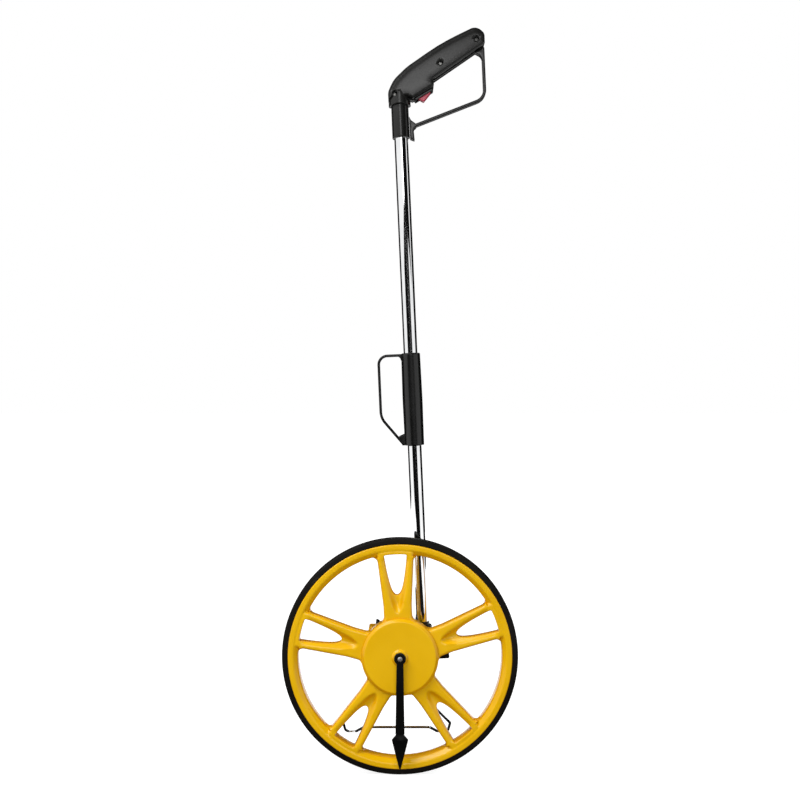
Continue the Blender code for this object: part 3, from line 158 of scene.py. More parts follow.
def rounded(corners, closed=True, step=10):
    """An outline from corners of (x, y, radius), with an arc at each corner that its sides have room for."""
    count = len(corners)
    corners = [(*corner, 0)[:3] for corner in corners]
    places = [Vector(corner[:2]) for corner in corners]
    halves, reaches = [], []
    for i in range(count):
        radius = corners[i][2]
        back, ahead = places[i - 1] - places[i], places[(i + 1) % count] - places[i]
        sharp = not radius or (not closed and i in (0, count - 1))
        halves.append(0 if sharp else back.angle(ahead) / 2)
        reaches.append(0 if sharp else radius / math.tan(halves[i]))
    points = []
    for i, corner in enumerate(places):
        if not reaches[i]:
            points.append(tuple(corner))
            continue
        back, ahead = places[i - 1] - corner, places[(i + 1) % count] - corner
        room_back = back.length / (reaches[i] + reaches[i - 1])
        room_ahead = ahead.length / (reaches[i] + reaches[(i + 1) % count])
        size = reaches[i] * min(1, room_back, room_ahead)
        back, ahead, half = back.normalized(), ahead.normalized(), halves[i]
        centre = corner + (back + ahead).normalized() * (size / math.cos(half))
        steps = max(3, math.ceil(math.degrees(math.pi - 2 * half) / step))
        points += arc(centre, corner + back * size, corner + ahead * size, steps)
    return points


def circle(radius, steps=64, x=0, y=0):
    """A closed round outline."""
    angles = [math.tau * i / steps for i in range(steps)]
    return [(x + radius * math.cos(a), y + radius * math.sin(a)) for a in angles]


def with_radii(points, radii):
    """Corners of (x, y, radius) from places and their radii."""
    return [(*point, radius) for point, radius in zip(points, radii)]


def oblong(low_x, low_y, high_x, high_y, radius=0):
    """A rectangle with round corners."""
    return rounded([(low_x, low_y, radius), (high_x, low_y, radius), (high_x, high_y, radius),
                    (low_x, high_y, radius)])


def rotated(points, angle):
    """Places of (x, y) turned about the origin."""
    c, s = math.cos(angle), math.sin(angle)
    return [(c * x - s * y, s * x + c * y) for x, y in points]


def ribbon(path, thickness):
    """The closed outline of a strap of even thickness along an open path."""
    left, outer = [], []
    path = [Vector(point) for point in path]
    for i, point in enumerate(path):
        before = (point - path[max(i - 1, 0)]).normalized()
        after = (path[min(i + 1, len(path) - 1)] - point).normalized()
        along = (before + after).normalized()
        side = Vector((-along.y, along.x)) * thickness / 2
        side /= along.dot(after if i == 0 else before)
        left.append(point + side)
        outer.append(point - side)
    return [tuple(point) for point in left + outer[::-1]]


def divided(outline, step):
    """An outline with every side cut into even lengths no longer than a step."""
    points = []
    for i, start in enumerate(outline):
        end = outline[(i + 1) % len(outline)]
        count = max(1, math.ceil(math.dist(start, end) / step))
        points += [(start[0] + (end[0] - start[0]) * k / count, start[1] + (end[1] - start[1]) * k / count)
                   for k in range(count)]
    return points


def inset(outline, distance):
    """An anticlockwise outline moved inwards by a distance."""
    points = [Vector(point) for point in outline]
    moved = []
    for i, point in enumerate(points):
        before = (point - points[i - 1]).normalized()
        after = (points[(i + 1) % len(points)] - point).normalized()
        normal = Vector((-before.y - after.y, before.x + after.x)).normalized()
        moved.append(tuple(point + normal * distance / max(0.3, normal.dot(Vector((-after.y, after.x))))))
    return moved


def area(outline):
    """An outline's area, which is negative where it runs clockwise."""
    return sum(a[0] * b[1] - b[0] * a[1] for a, b in zip(outline, outline[1:] + outline[:1])) / 2


def anticlockwise(outline):
    return outline if area(outline) > 0 else outline[::-1]


# Forms: each is (points, faces) in a frame's own millimetres


def turned(profile, steps=96):
    """A profile of (radius, height) turned about Z. It is closed, or it starts and ends on the axis."""
    solid = profile[0][0] == 0 and profile[-1][0] == 0
    profile = divided(profile, 2.5)
    if solid:
        profile = profile[:max(i for i, point in enumerate(profile) if point[0] == 0) + 1]
        while profile[-2][0] == 0:
            profile.pop()
    points, rows, faces = [], [], []
    for radius, height in profile:
        if radius == 0:
            rows.append([len(points)] * steps)
            points.append((0, 0, height))
            continue
        rows.append(list(range(len(points), len(points) + steps)))
        points += [(x, y, height) for x, y in circle(radius, steps)]
    for k in range(len(rows) - 1 if solid else len(rows)):
        low, high = rows[k], rows[(k + 1) % len(rows)]
        for i in range(steps):
            j = (i + 1) % steps
            face = dict.fromkeys((low[i], high[i], high[j], low[j]))
            if len(face) > 2:
                faces.append(tuple(face))
    return points, faces


def lofted(sections, tips):
    """A skin over rings of as many points each, closed by a point at each end."""
    sides = len(sections[0])
    points = [point for section in sections for point in section] + list(tips)
    faces = []
    for k in range(len(sections) - 1):
        for i in range(sides):
            j = (i + 1) % sides
            faces.append((k * sides + i, k * sides + j, (k + 1) * sides + j, (k + 1) * sides + i))
    last = (len(sections) - 1) * sides
    for i in range(sides):
        j = (i + 1) % sides
        faces.append((j, i, len(points) - 2))
        faces.append((last + i, last + j, len(points) - 1))
    return points, faces


def wire(path, radius, sides=16, dome=0.7):
    """A round wire along a path, with domed ends."""
    path = [Vector(point) for point in path]
    start, end = (path[0] - path[1]).normalized(), (path[-1] - path[-2]).normalized()
    spine = [(path[0] + start * radius * dome * s, c) for s, c in ((0.9, 0.44), (0.6, 0.8))]
    spine += [(point, 1) for point in path]
    spine += [(path[-1] + end * radius * dome * s, c) for s, c in ((0.6, 0.8), (0.9, 0.44))]
    tangents = []
    for i in range(len(spine)):
        before, after = spine[max(i - 1, 0)][0], spine[min(i + 1, len(spine) - 1)][0]
        tangents.append((after - before).normalized())
    side = tangents[0].orthogonal().normalized()
    sections = []
    for (point, share), tangent in zip(spine, tangents):
        side = (side - tangent * side.dot(tangent)).normalized()
        other = tangent.cross(side)
        sections.append([point + (side * x + other * y) for x, y in circle(radius * share, sides)])
    return lofted(sections, (path[0] + start * radius * dome, path[-1] + end * radius * dome))


def drop(distance, radius):
    """How far a round edge has fallen at a distance from its side."""
    inward = radius - min(max(distance, 0), radius)
    return radius - math.sqrt(max(radius * radius - inward * inward, 0))


def smooth_step(value):
    value = min(max(value, 0), 1)
    return value * value * (3 - 2 * value)


def smooth_max(a, b, blend):
    """The larger of two heights, with a fillet where they cross."""
    share = max(blend - abs(a - b), 0) / blend
    return max(a, b) + share * share * blend / 4


class Edges:
    """The distance from a place to the nearest of some outlines."""

    def __init__(self, outlines):
        self.sides = {}
        points = []
        for outline in outlines:
            for i, point in enumerate(outline):
                self.sides[len(points)] = (outline[i - 1], point, outline[(i + 1) % len(outline)])
                points.append(point)
        self.tree = kdtree.KDTree(len(points))
        for i, point in enumerate(points):
            self.tree.insert((*point, 0), i)
        self.tree.balance()

    def distance(self, x, y):
        back, here, ahead = self.sides[self.tree.find((x, y, 0))[1]]
        best = 1e9
        for (ax, ay), (bx, by) in ((back, here), (here, ahead)):
            dx, dy = bx - ax, by - ay
            share = min(max(((x - ax) * dx + (y - ay) * dy) / (dx * dx + dy * dy or 1), 0), 1)
            best = min(best, math.hypot(ax + share * dx - x, ay + share * dy - y))
        return best


def inside(points, outlines):
    """Which places lie inside the first outline and outside the holes."""
    x, y = points[:, 0], points[:, 1]
    odd = np.zeros(len(points), bool)
    for outline in outlines:
        ends = np.array(outline)
        for (ax, ay), (bx, by) in zip(ends, np.roll(ends, -1, 0)):
            if ay != by:
                crosses = (ay > y) != (by > y)
                odd ^= crosses & (x < (bx - ax) * (y - ay) / (by - ay) + ax)
    return odd


def relief(outlines, top, bottom, rings=(1.0,), grid=4.0, step=1.5, lines=()):
    """A closed form over outlines, the first outside and the rest holes.

    Its two faces are heights of (x, y, distance from the edge). The rings are distances from the edge, and
    the lines are further outlines, at which both faces get points.
    """
    outlines = [divided(anticlockwise(outline), step) for outline in outlines]
    edges = Edges(outlines)
    loose = []
    for distance in rings:
        for i, outline in enumerate(outlines):
            loose += [(x, y, distance * 0.97) for x, y in inset(outline, distance if i == 0 else -distance)]
    for line in lines:
        loose += [(x, y, step * 0.1) for x, y in divided(line, step)]
    low, high = np.min(outlines[0], 0), np.max(outlines[0], 0)
    free = max(rings) + grid * 0.4
    for j in range(int((high[1] - low[1]) / (grid * 0.87)) + 1):
        for i in range(int((high[0] - low[0]) / grid) + 1):
            loose.append((low[0] + (i + j % 2 / 2) * grid, low[1] + j * grid * 0.87, free))
    loose = np.array(loose)
    loose = loose[inside(loose, outlines)]
    kept = [(x, y) for x, y, least in loose.tolist() if edges.distance(x, y) >= least]
    flat, faces = [], []
    for outline in outlines:
        faces.append(list(range(len(flat), len(flat) + len(outline))))
        flat += outline
    made = geometry.delaunay_2d_cdt([Vector(p) for p in flat + kept], [], faces, 1, 0.003, False)
    flat, faces = [tuple(point) for point in made[0]], [tuple(face) for face in made[2]]
    middles = np.array([np.mean([flat[i] for i in face], 0) for face in faces])
    faces = [face for face, solid in zip(faces, inside(middles, outlines)) if solid]
    used = sorted({i for face in faces for i in face})
    index = {old: new for new, old in enumerate(used)}
    flat = [flat[i] for i in used]
    faces = [tuple(index[i] for i in face) for face in faces]
    faces = [face if area([flat[i] for i in face]) > 0 else face[::-1] for face in faces]
    count = len(flat)
    distances = [edges.distance(x, y) for x, y in flat]
    points = [(x, y, top(x, y, d)) for (x, y), d in zip(flat, distances)]
    points += [(x, y, bottom(x, y, d)) for (x, y), d in zip(flat, distances)]
    sides = {(a, b) for face in faces for a, b in zip(face, face[1:] + face[:1])}
    walls = [(b, a, a + count, b + count) for a, b in sides if (b, a) not in sides]
    return points, faces + [tuple(i + count for i in face[::-1]) for face in faces] + sorted(walls)


# Shares of a round edge at which it gets points, at even turns of its arc
edge_rings = (0.034, 0.134, 0.293, 0.5, 0.741, 1)
few_rings = (0.134, 0.5, 1.0)


def slab(outlines, low, high, edge=0.8, under=None, grid=6.0, step=1.5, lines=()):
    """A flat plate with round edges."""
    under = edge if under is None else under
    most = max(edge, under)
    rings = [most * share for share in (few_rings if most < 2 else edge_rings)]
    return relief(outlines, lambda x, y, d: high - drop(d, edge) if edge else high,
                  lambda x, y, d: low + drop(d, under) if under else low, rings, grid, step, lines)


def moved(form, matrix):
    """A form carried into another frame."""
    return [tuple(matrix @ Vector(point)) for point in form[0]], form[1]


def between(line, other):
    """The matrix that takes places in one frame to another."""
    return other.inverted() @ line


def as_mesh(name, form):
    mesh = bpy.data.meshes.new(name)
    mesh.from_pydata([tuple(point) for point in form[0]], [], form[1])
    shape = bmesh.new()
    shape.from_mesh(mesh)
    bmesh.ops.remove_doubles(shape, verts=shape.verts, dist=0.001)
    bmesh.ops.recalc_face_normals(shape, faces=shape.faces)
    shape.to_mesh(mesh)
    shape.free()
    return mesh


def fused(forms, cutters=()):
    """One closed form from several that overlap, with the cutters taken out of it."""
    objects = []
    for form in [*forms, *cutters]:
        objects.append(bpy.data.objects.new("blank", as_mesh("blank", form)))
        scene.collection.objects.link(objects[-1])
    for i, tool in enumerate(objects[1:], 1):
        change = objects[0].modifiers.new("join", "BOOLEAN")
        change.operation = "UNION" if i < len(forms) else "DIFFERENCE"
        change.solver = "EXACT"
        change.object = tool
    graph = bpy.context.evaluated_depsgraph_get()
    mesh = bpy.data.meshes.new_from_object(objects[0].evaluated_get(graph))
    result = [tuple(vertex.co) for vertex in mesh.vertices], [tuple(face.vertices) for face in mesh.polygons]
    for obj in objects:
        bpy.data.objects.remove(obj)
    bpy.data.meshes.remove(mesh)
    return result


def upright(profile, steps=96, closed=True, step=10):
    """A round form about Y, from a profile of (radius, height, rounding)."""
    return moved(turned(rounded(profile, closed, step), steps), z_to_y)


def peg(radius, low, high, x=0, y=0, steps=32):
    """A round cutter along Z."""
    form = turned([(0, high), (radius, high), (radius, low), (0, low)], steps)
    return moved(form, Matrix.Translation((x, y, 0)))


def bow_part(outline, edge=1.0, step=1):
    """A flat piece of a bow, as wide as both bows are."""
    return slab([outline], -bow_half_width, bow_half_width, edge, grid=3, step=step)


def block(low, high):
    """A cutter's box between two opposite corners."""
    shape = bmesh.new()
    low, high = Vector(low), Vector(high)
    bmesh.ops.create_cube(shape, size=1, matrix=Matrix.Translation((low + high) / 2)
                          @ Matrix.Diagonal((*(high - low), 1)))
    points = [tuple(vertex.co) for vertex in shape.verts]
    faces = [tuple(vertex.index for vertex in face.verts) for face in shape.faces]
    shape.free()
    return points, faces


# Finishes


class Signal:
    """A value or colour on its way to a shader. Sums and products of values become nodes."""

    def __init__(self, finish, socket):
        self.finish, self.socket = finish, socket

    def math(self, operation, first, second):
        return self.finish.node("Math", {"operation": operation}, {0: first, 1: second})

    def __add__(self, other):
        return self.math("ADD", self, other)

    def __sub__(self, other):
        return self.math("SUBTRACT", self, other)

    def __rsub__(self, other):
        return self.math("SUBTRACT", other, self)

    def __mul__(self, other):
        return self.math("MULTIPLY", self, other)

    __radd__ = __add__
    __rmul__ = __mul__


class Finish:
    """One material, whose shader takes its fixed values straight on its sockets."""

    def __init__(self, name, **fixed):
        self.material = bpy.data.materials.new(name)
        self.material.use_nodes = True
        self.tree = self.material.node_tree
        self.shader = self.tree.nodes["Principled BSDF"]
        for key, value in fixed.items():
            self.shader.inputs[key.replace("_", " ")].default_value = value
        self.point = self.node("TexCoord", output="Object")

    def node(self, kind, settings=(), inputs=(), output=0):
        """A node of a kind, with its settings made first and then its inputs."""
        made = self.tree.nodes.new("ShaderNode" + kind)
        for key, value in dict(settings).items():
            setattr(made, key, value)
        for key, value in dict(inputs).items():
            if isinstance(value, Signal):
                self.tree.links.new(value.socket, made.inputs[key])
            else:
                made.inputs[key].default_value = value
        return Signal(self, made.outputs[output])

    def stretched(self, scale, turn=(0, 0, 0)):
        """The surface's own coordinates, drawn out along an axis."""
        return self.node("Mapping", {}, {"Vector": self.point, "Scale": scale, "Rotation": turn})

    def noise(self, scale, detail=2, point=None, warp=0):
        return self.node("TexNoise", {}, {"Vector": point or self.point, "Scale": scale, "Detail": detail,
                                          "Distortion": warp})

    def cells(self, scale, feature="F1"):
        return self.node("TexVoronoi", {"feature": feature}, {"Vector": self.point, "Scale": scale})

    def spread(self, value, low, high, to_low=0.0, to_high=1.0):
        """A value's stretch from low to high, eased at both ends."""
        return self.node("MapRange", {"interpolation_type": "SMOOTHSTEP"},
                         {0: value, 1: low, 2: high, 3: to_low, 4: to_high})

    def edges(self, low=0.52, high=0.62):
        """Where the surface is an outer edge."""
        return self.spread(self.node("NewGeometry", output="Pointiness"), low, high)

    def mix(self, share, first, second):
        colours = [value if isinstance(value, Signal) else (*value, 1) for value in (first, second)]
        return self.node("Mix", {"data_type": "RGBA"}, {0: share, 6: colours[0], 7: colours[1]}, output=2)

    def bump(self, height, strength, depth):
        """Feeds a height into the shader's normal."""
        bump = self.node("Bump", {}, {"Height": height, "Strength": strength, "Distance": depth})
        self.feed("Normal", bump)

    def feed(self, socket, value):
        self.tree.links.new(value.socket, self.shader.inputs[socket])


def moulded(name, low, high, edge, grain, depth, rough, slanting=None, **fixed):
    """A moulded plastic: its colour drifts, its grain is fine and its edges are rubbed paler.

    Where it turns away from the eye, its colour is painted deeper and more orange, towards a given colour, as
    painted shade.
    """
    finish = Finish(name, **fixed)
    cloud = finish.spread(finish.noise(14, 3), 0.3, 0.7)
    fine = finish.noise(grain, 3)
    flow = finish.noise(grain / 9, 2, finish.stretched((1, 1, 0.35)))
    worn = finish.edges() * finish.spread(finish.noise(90, 4), 0.35, 0.75)
    dust = finish.spread(finish.noise(520, 5), 0.62, 0.8) * finish.spread(finish.noise(22, 2), 0.45, 0.7)
    colour = finish.mix(cloud, low, high)
    if slanting:
        # Painted shade: the colour is painted deeper and more orange where the surface turns away from the eye
        away = finish.node("LayerWeight", {}, {"Blend": 0.5}, output="Facing")
        colour = finish.mix(finish.spread(away, 0.05, 0.5), colour, slanting)
    colour = finish.mix(worn * 0.6, colour, edge)
    finish.feed("Base Color", finish.mix(dust * 0.06, colour, (0.5, 0.49, 0.46)))
    finish.feed("Roughness", rough + 0.1 * fine + 0.05 * cloud + 0.12 * dust - 0.05 * worn)
    finish.bump(fine * 0.7 + flow * 0.3, 0.5, depth)
    return finish


def plated(name, low, high, rough, streak, turn, **fixed):
    """Bright metal: fine rubbing marks run along it, with a slight bloom and a few specks."""
    finish = Finish(name, Metallic=1.0, **fixed)
    bloom = finish.spread(finish.noise(30, 4), 0.35, 0.75)
    marks = finish.noise(streak, 2, finish.stretched((1, 1, 0.02), turn))
    specks = finish.spread(finish.cells(900), 0.0, 0.16, 1.0, 0.0) * finish.spread(finish.noise(60), 0.5, 0.7)
    finish.feed("Base Color", finish.mix(bloom, high, low))
    finish.feed("Roughness", rough + rough * 0.8 * bloom + 0.5 * rough * marks + 0.15 * specks)
    finish.bump(marks, 0.015, 0.00001)
    return finish


plastics = {
    "yellow_plastic": {"low": (0.76, 0.42, 0.0), "high": (0.82, 0.47, 0.0), "edge": (0.94, 0.66, 0.05),
                       # The deeper orange below is painted shade, for where the yellow turns away from the eye
                       "slanting": (0.72, 0.335, 0.0), "grain": 1300, "depth": 0.00003, "rough": 0.13,
                       "Specular_IOR_Level": 0.38},
    "black_plastic": {"low": (0.006, 0.006, 0.0057), "high": (0.010, 0.0098, 0.0093),
                      "edge": (0.05, 0.05, 0.048), "grain": 2100, "depth": 0.00005, "rough": 0.15,
                      "Specular_IOR_Level": 0.34},
    "satin_black": {"low": (0.0025, 0.0025, 0.0023), "high": (0.0045, 0.0045, 0.0043),
                    "edge": (0.03, 0.03, 0.03), "grain": 1500, "depth": 0.00003, "rough": 0.16,
                    "Specular_IOR_Level": 0.45},
    "tyre_rubber": {"low": (0.0050, 0.0042, 0.0032), "high": (0.0082, 0.0070, 0.0056),
                    "edge": (0.03, 0.028, 0.026), "grain": 900, "depth": 0.00010, "rough": 0.45,
                    "Specular_IOR_Level": 0.07},
    "red_plastic": {"low": (0.55, 0.035, 0.075), "high": (0.66, 0.05, 0.10), "edge": (0.80, 0.22, 0.28),
                    "grain": 1500, "depth": 0.00005, "rough": 0.28, "Coat_Weight": 0.1},
    "white_nylon": {"low": (0.70, 0.69, 0.63), "high": (0.80, 0.79, 0.74), "edge": (0.88, 0.88, 0.85),
                    "grain": 900, "depth": 0.00006, "rough": 0.4, "Subsurface_Weight": 0.05},
    "drum_white": {"low": (0.74, 0.74, 0.71), "high": (0.82, 0.82, 0.80), "edge": (0.9, 0.9, 0.88),
                   "grain": 1200, "depth": 0.00004, "rough": 0.34},
    "digit_ink": {"low": (0.008, 0.008, 0.009), "high": (0.014, 0.014, 0.015), "edge": (0.05, 0.05, 0.05),
                  "grain": 1500, "depth": 0.00002, "rough": 0.3},
    "clear_plastic": {"low": (0.92, 0.94, 0.94), "high": (0.95, 0.96, 0.96), "edge": (0.97, 0.97, 0.97),
                      "grain": 200, "depth": 0.00001, "rough": 0.03, "Transmission_Weight": 1.0, "IOR": 1.49},
}
metals = {
    "chrome": {"low": (0.80, 0.81, 0.82), "high": (0.90, 0.905, 0.91), "rough": 0.03, "streak": 900,
               "turn": (0, 0, 0)},
    "zinc_steel": {"low": (0.36, 0.36, 0.35), "high": (0.50, 0.50, 0.48), "rough": 0.4, "streak": 500,
                   "turn": (0.4, 0.3, 0)},
    "brass": {"low": (0.50, 0.34, 0.11), "high": (0.68, 0.49, 0.19), "rough": 0.22, "streak": 500,
              "turn": (0.4, 0.3, 0)},
}
finishes = {name: moulded(name, **look) for name, look in plastics.items()}
finishes.update({name: plated(name, **look) for name, look in metals.items()})


def piece(name, form, line, finish, body, *nodes, angle=38, slot=None):
    """A finished piece that rides on a body and stands for the named solids."""
    mesh = as_mesh(name, form)
    mesh.transform(line)
    mesh.shade_smooth()
    mesh.set_sharp_from_angle(angle=math.radians(angle))
    mesh.materials.append(finishes[finish].material)
    obj = bpy.data.objects.new(name, mesh)
    scene.collection.objects.link(obj)
    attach(obj, body)
    if nodes:
        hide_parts(*nodes)
    return obj


# The wheel


def spoke_half(radius):
    """Half a spoke's width at a distance from the axle."""
    start = hub_radius + spoke_straight
    share = max(0, radius - start) / (rim_inner - start)
    return (spoke_width_at_hub + (spoke_width_at_rim - spoke_width_at_hub) * share) / 2


def wheel_bay():
    """The opening between the first spoke, which stands up, and the next one."""
    bay = math.tau / spoke_count
    rim_angle = math.asin(spoke_width_at_rim / 2 / rim_inner)
    hub_angle = math.asin(spoke_width_at_hub / 2 / hub_radius)
    waist = hub_radius + spoke_straight
    side = [(-hub_radius * math.sin(hub_angle), hub_radius * math.cos(hub_angle), hub_fillet)]
    side += [(-spoke_half(waist), waist, spoke_waist_radius)]
    side += [(-rim_inner * math.sin(rim_angle), rim_inner * math.cos(rim_angle), rim_fillet)]
    corners = list(side)
    for i in range(1, 16):
        angle = rim_angle + (bay - 2 * rim_angle) * i / 16
        corners.append((-rim_inner * math.sin(angle), rim_inner * math.cos(angle), 0))
    for x, y, radius in side[::-1]:
        corners.append((*rotated([(-x, y)], bay)[0], radius))
    for share in (0.75, 0.5, 0.25):
        angle = hub_angle + (bay - 2 * hub_angle) * share
        corners.append((-hub_radius * math.sin(angle), hub_radius * math.cos(angle), 0))
    return rounded(corners)


def spoke_fork():
    """The slot that forks a spoke towards the rim, opening like a horn."""
    half = fork_width / 2
    rim_y = math.sqrt(rim_inner ** 2 - half ** 2)
    side = []
    for i in range(25):
        share = (i / 24) ** 2
        side.append((half * share ** fork_spread, fork_throat + (rim_y - fork_throat) * share, 0))
    corner = (*side.pop()[:2], fork_fillet)
    left = [(-x, y, radius) for x, y, radius in side[:0:-1]]
    bow = [(half * share, math.sqrt(rim_inner ** 2 - (half * share) ** 2), 0) for share in (0.5, 0, -0.5)]
    return rounded([corner] + bow + [(-corner[0], *corner[1:])] + left + side)


def make_wheel():
    """The moulded wheel, its tyre and its hub cover."""
    bays = [math.tau * i / spoke_count for i in range(spoke_count)]
    sides = [rotated(wheel_bay(), bay) for bay in bays]
    slots = [rotated(spoke_fork(), bay) for bay in bays]
    spoke_edges = Edges([divided(outline, 1.5) for outline in sides])
    slot_edges = Edges([divided(outline, 1.5) for outline in slots])
    flat_from = rim_radius - rim_flat

    def spoke_place(x, y):
        """(across, along) in the nearest spoke's own directions."""
        angle = math.atan2(-x, y) % math.tau
        turn = round(angle / (math.tau / spoke_count)) * math.tau / spoke_count
        return rotated([(x, y)], -turn)[0]

    def rim_front(radius):
        fall = smooth_max(0, (flat_from - radius) * rim_slope, 0.5)
        return rim_half - fall - drop(rim_radius - radius, 1)

    def front(x, y, d):
        radius = math.hypot(x, y)
        if radius < hub_radius + 1:
            return spoke_front
        across, along = spoke_place(x, y)
        slot = slot_edges.distance(x, y)
        side = spoke_edges.distance(x, y)
        if radius > rim_inner - 1.5:
            side = spoke_half(min(along, rim_inner)) - abs(across)
        height = spoke_front - (drop(side, spoke_rounding) if side > 0 else 20)
        height -= spoke_end_drop * max(0, (radius - rim_inner - spoke_end_start) / spoke_end_length) ** 2
        forward = along - fork_throat + scoop_length
        if forward > 0:
            q = abs(across) / (scoop_half * math.sqrt(forward / scoop_length))
            fade = 1 - smooth_step((radius - rim_inner + scoop_fade) / scoop_fade)
            if q < 1:
                sink = 1 - (1 - min(forward / scoop_slope, 1)) ** 2
                height -= scoop_depth * sink * (1 - q * q) ** scoop_fullness * fade
        height -= drop(slot, moulding_edge)
        if radius < rim_inner - 3:
            return height
        ring = rim_front(radius) - drop(d, moulding_edge)
        return smooth_max(ring, height, moulding_edge) if radius > rim_inner - 0.4 else max(height, ring)

    channel_in, channel_out = rim_inner + rim_wall, rim_radius - rim_wall
    brink = 0.12

    def back(x, y, d):
        radius = math.hypot(x, y)
        if radius > rim_inner - 0.3:
            if channel_in + brink < radius < channel_out - brink:
                return rim_half - rim_wall - 0.6
            return -rim_half + drop(d, 0.8)
        if radius < barrel_radius - brink:
            return barrel_back + drop(d, 0.5)
        if hollow_inner < radius < hollow_outer:
            to_wall = (hollow_outer - hollow_inner) / 2 - abs(radius - (hollow_inner + hollow_outer) / 2)
            return spoke_back + hollow_depth * smooth_step(to_wall / hollow_depth)
        return spoke_back + drop(d, 1.5)

    wall = 0.2
    rim_lines = (rim_inner - 0.45, rim_inner - 0.25, channel_in, channel_in + wall, channel_out - wall,
                 channel_out, flat_from, flat_from - 2, flat_from - 4, rim_inner + 1)
    hub_lines = (barrel_radius, barrel_radius - wall, hollow_inner, hollow_inner + hollow_depth,
                 hollow_outer - hollow_depth, hollow_outer, hub_radius + 1.2)
    lines = [circle(r, 300) for r in rim_lines] + [circle(r, 120) for r in hub_lines]
    rings = [spoke_rounding * share for share in edge_rings]
    form = relief([circle(rim_radius, 360)] + sides + slots + [circle(hub_bore, 48)], front, back, rings,
                  grid=2.4, step=1.6, lines=lines)
    turn = Matrix.Rotation(wheel_turn, 4, "Z")
    piece("wheel_casting", moved(form, turn), wheel_line, "yellow_plastic", "wheel", "wheel_spider")

    half, inner, outer = tyre_width / 2, rim_radius + tyre_fit, tyre_radius
    root, groove_root = outer - tyre_groove_depth, tyre_groove_half - 0.2
    corners = [(inner, half, 0.3), (inner + tyre_lip, half, 0.2), (outer - 1.4, half - 0.5, 2.2),
               (outer, half - 3.4, 3)]
    for z in tyre_grooves:
        corners += [(outer, z + tyre_groove_half, 0.15), (root, z + groove_root, 0.1),
                    (root, z - groove_root, 0.1), (outer, z - tyre_groove_half, 0.15)]
    corners += [(r, -z, soft) for r, z, soft in corners[3::-1]]
    piece("tyre_ring", turned(rounded(corners, step=15), 216), wheel_line, "tyre_rubber", "wheel", "tyre")

    low, high = reach("hub_cover", wheel_line)
    face = high.z - hub_boss_height
    corners = [(hub_bore, high.z, 0.3), (hub_cone_top, high.z, 0.8), (hub_cone_foot, face, 0.8),
               (high.x - hub_chamfer, face, 2.0), (high.x - 0.5, face - hub_chamfer_drop, 1.6),
               (high.x, low.z, 0.4), (hub_bore, low.z, 0.2)]
    piece("hub_cap", turned(rounded(corners), 144), wheel_line, "yellow_plastic", "wheel", "hub_cover")


def screw(name, line, height, head, shank, length, body, node, drive=0.62, socket=0):
    """A pan-head screw with a cross recess or a six-sided socket. Its head stands on z = 0 and faces +Z."""
    profile = rounded([(0, height), (head * 0.55, height, head * 0.7), (head, height * 0.45, height * 0.3),
                       (head, 0, 0.15), (shank, 0, 0.1), (shank, -length + 0.4), (shank * 0.6, -length),
                       (0, -length)], closed=False, step=14)
    wide, arm = head * 0.13, head * drive
    deep = height * 0.75
    cross = [block((-arm, -wide, height - deep), (arm, wide, height + 1)),
             block((-wide, -arm, height - deep), (wide, arm, height + 1))]
    if socket:
        cross = [peg(socket, height - deep, height + 1, steps=6)]
    piece(name, fused([turned(profile, 40)], cross), line, "zinc_steel", body, node, angle=32)


# The pointer

pointer_head_length = 45.1
pointer_barb = 6.4
pointer_flare = 2.1
pointer_half_arm = 6.1
pointer_half_neck = 5.45
pointer_half_eye = 4.6
pointer_thickness = 3.4
pointer_ridge = 1.5
pointer_tip = 0.4
pointer_bore = 2.5
pointer_screw_height = 2.2


def make_pointer():
    """The pointer's arm with its ridged arrowhead, and the screw that holds it."""
    low, high = reach("pointer_arm", wheel_line)
    length = -low.y
    eye, head_half = high.y, high.x
    neck = length - pointer_head_length
    barb = neck + pointer_barb
    start = math.asin(pointer_half_eye / eye)
    around = [-math.pi / 2 + start + (math.tau - 2 * start) * i / 40 for i in range(41)]
    outline = [(eye * math.cos(a), eye * math.sin(a)) for a in around]
    side = [(-pointer_half_arm, pointer_flare - neck), (-pointer_half_neck, -neck), (-head_half, -barb),
            (-1.2, pointer_tip - length)]
    outline += side + [(0, -length)] + [(-x, y) for x, y in side[::-1]]

    def top(x, y, d):
        flat = low.z + pointer_thickness - drop(d, 0.7)
        if y < -neck:
            slope = (-y - barb) / (length - barb)
            side = abs(x) / max(head_half * (1 - max(slope, 0)), 0.1)
            rise = min((-y - neck) / (barb - neck), 1) if slope < 0 else 1 - slope
            return flat + pointer_ridge * max(0, 1 - side) * rise
        return flat

    ridges = [[(0, -neck), (0, -length + 1)],
              [(head_half - 0.4, -barb), (0, -barb), (0.4 - head_half, -barb)]]
    form = relief([outline, circle(pointer_bore, 24)], top, lambda x, y, d: low.z + drop(d, 0.4),
                  (0.1, 0.35, 0.7), 1.6, 1.0, ridges)
    piece("pointer_blade", form, wheel_line, "satin_black", "pointer", "pointer_arm", angle=30)
    low, high = reach("pointer_screw", wheel_line)
    line = wheel_line @ Matrix.Translation((0, 0, high.z - pointer_screw_height))
    screw("pointer_screw_head", line, pointer_screw_height, high.x, 1.2, 8, "chassis", "pointer_screw",
          socket=1.25)


# The bracket

case_radius = 42
case_front = -20
case_wall = 3
case_floor = 5.5
case_neck_radius = 6.5
case_barrel_radius = 11
case_barrel_end = 14.5
case_bore = 4.3
socket_radius = 12.5
socket_band_radius = 13.1
socket_above = 35.3
socket_below = 34
socket_floor = 4
clamp_reach = 35.5
clamp_slant = 2.6
clamp_below = 12
clamp_above = 13.5
clamp_half = 5.5
clamp_slit = 0.8
clamp_bolt_out = 25
clamp_bolt_bore = 2.3


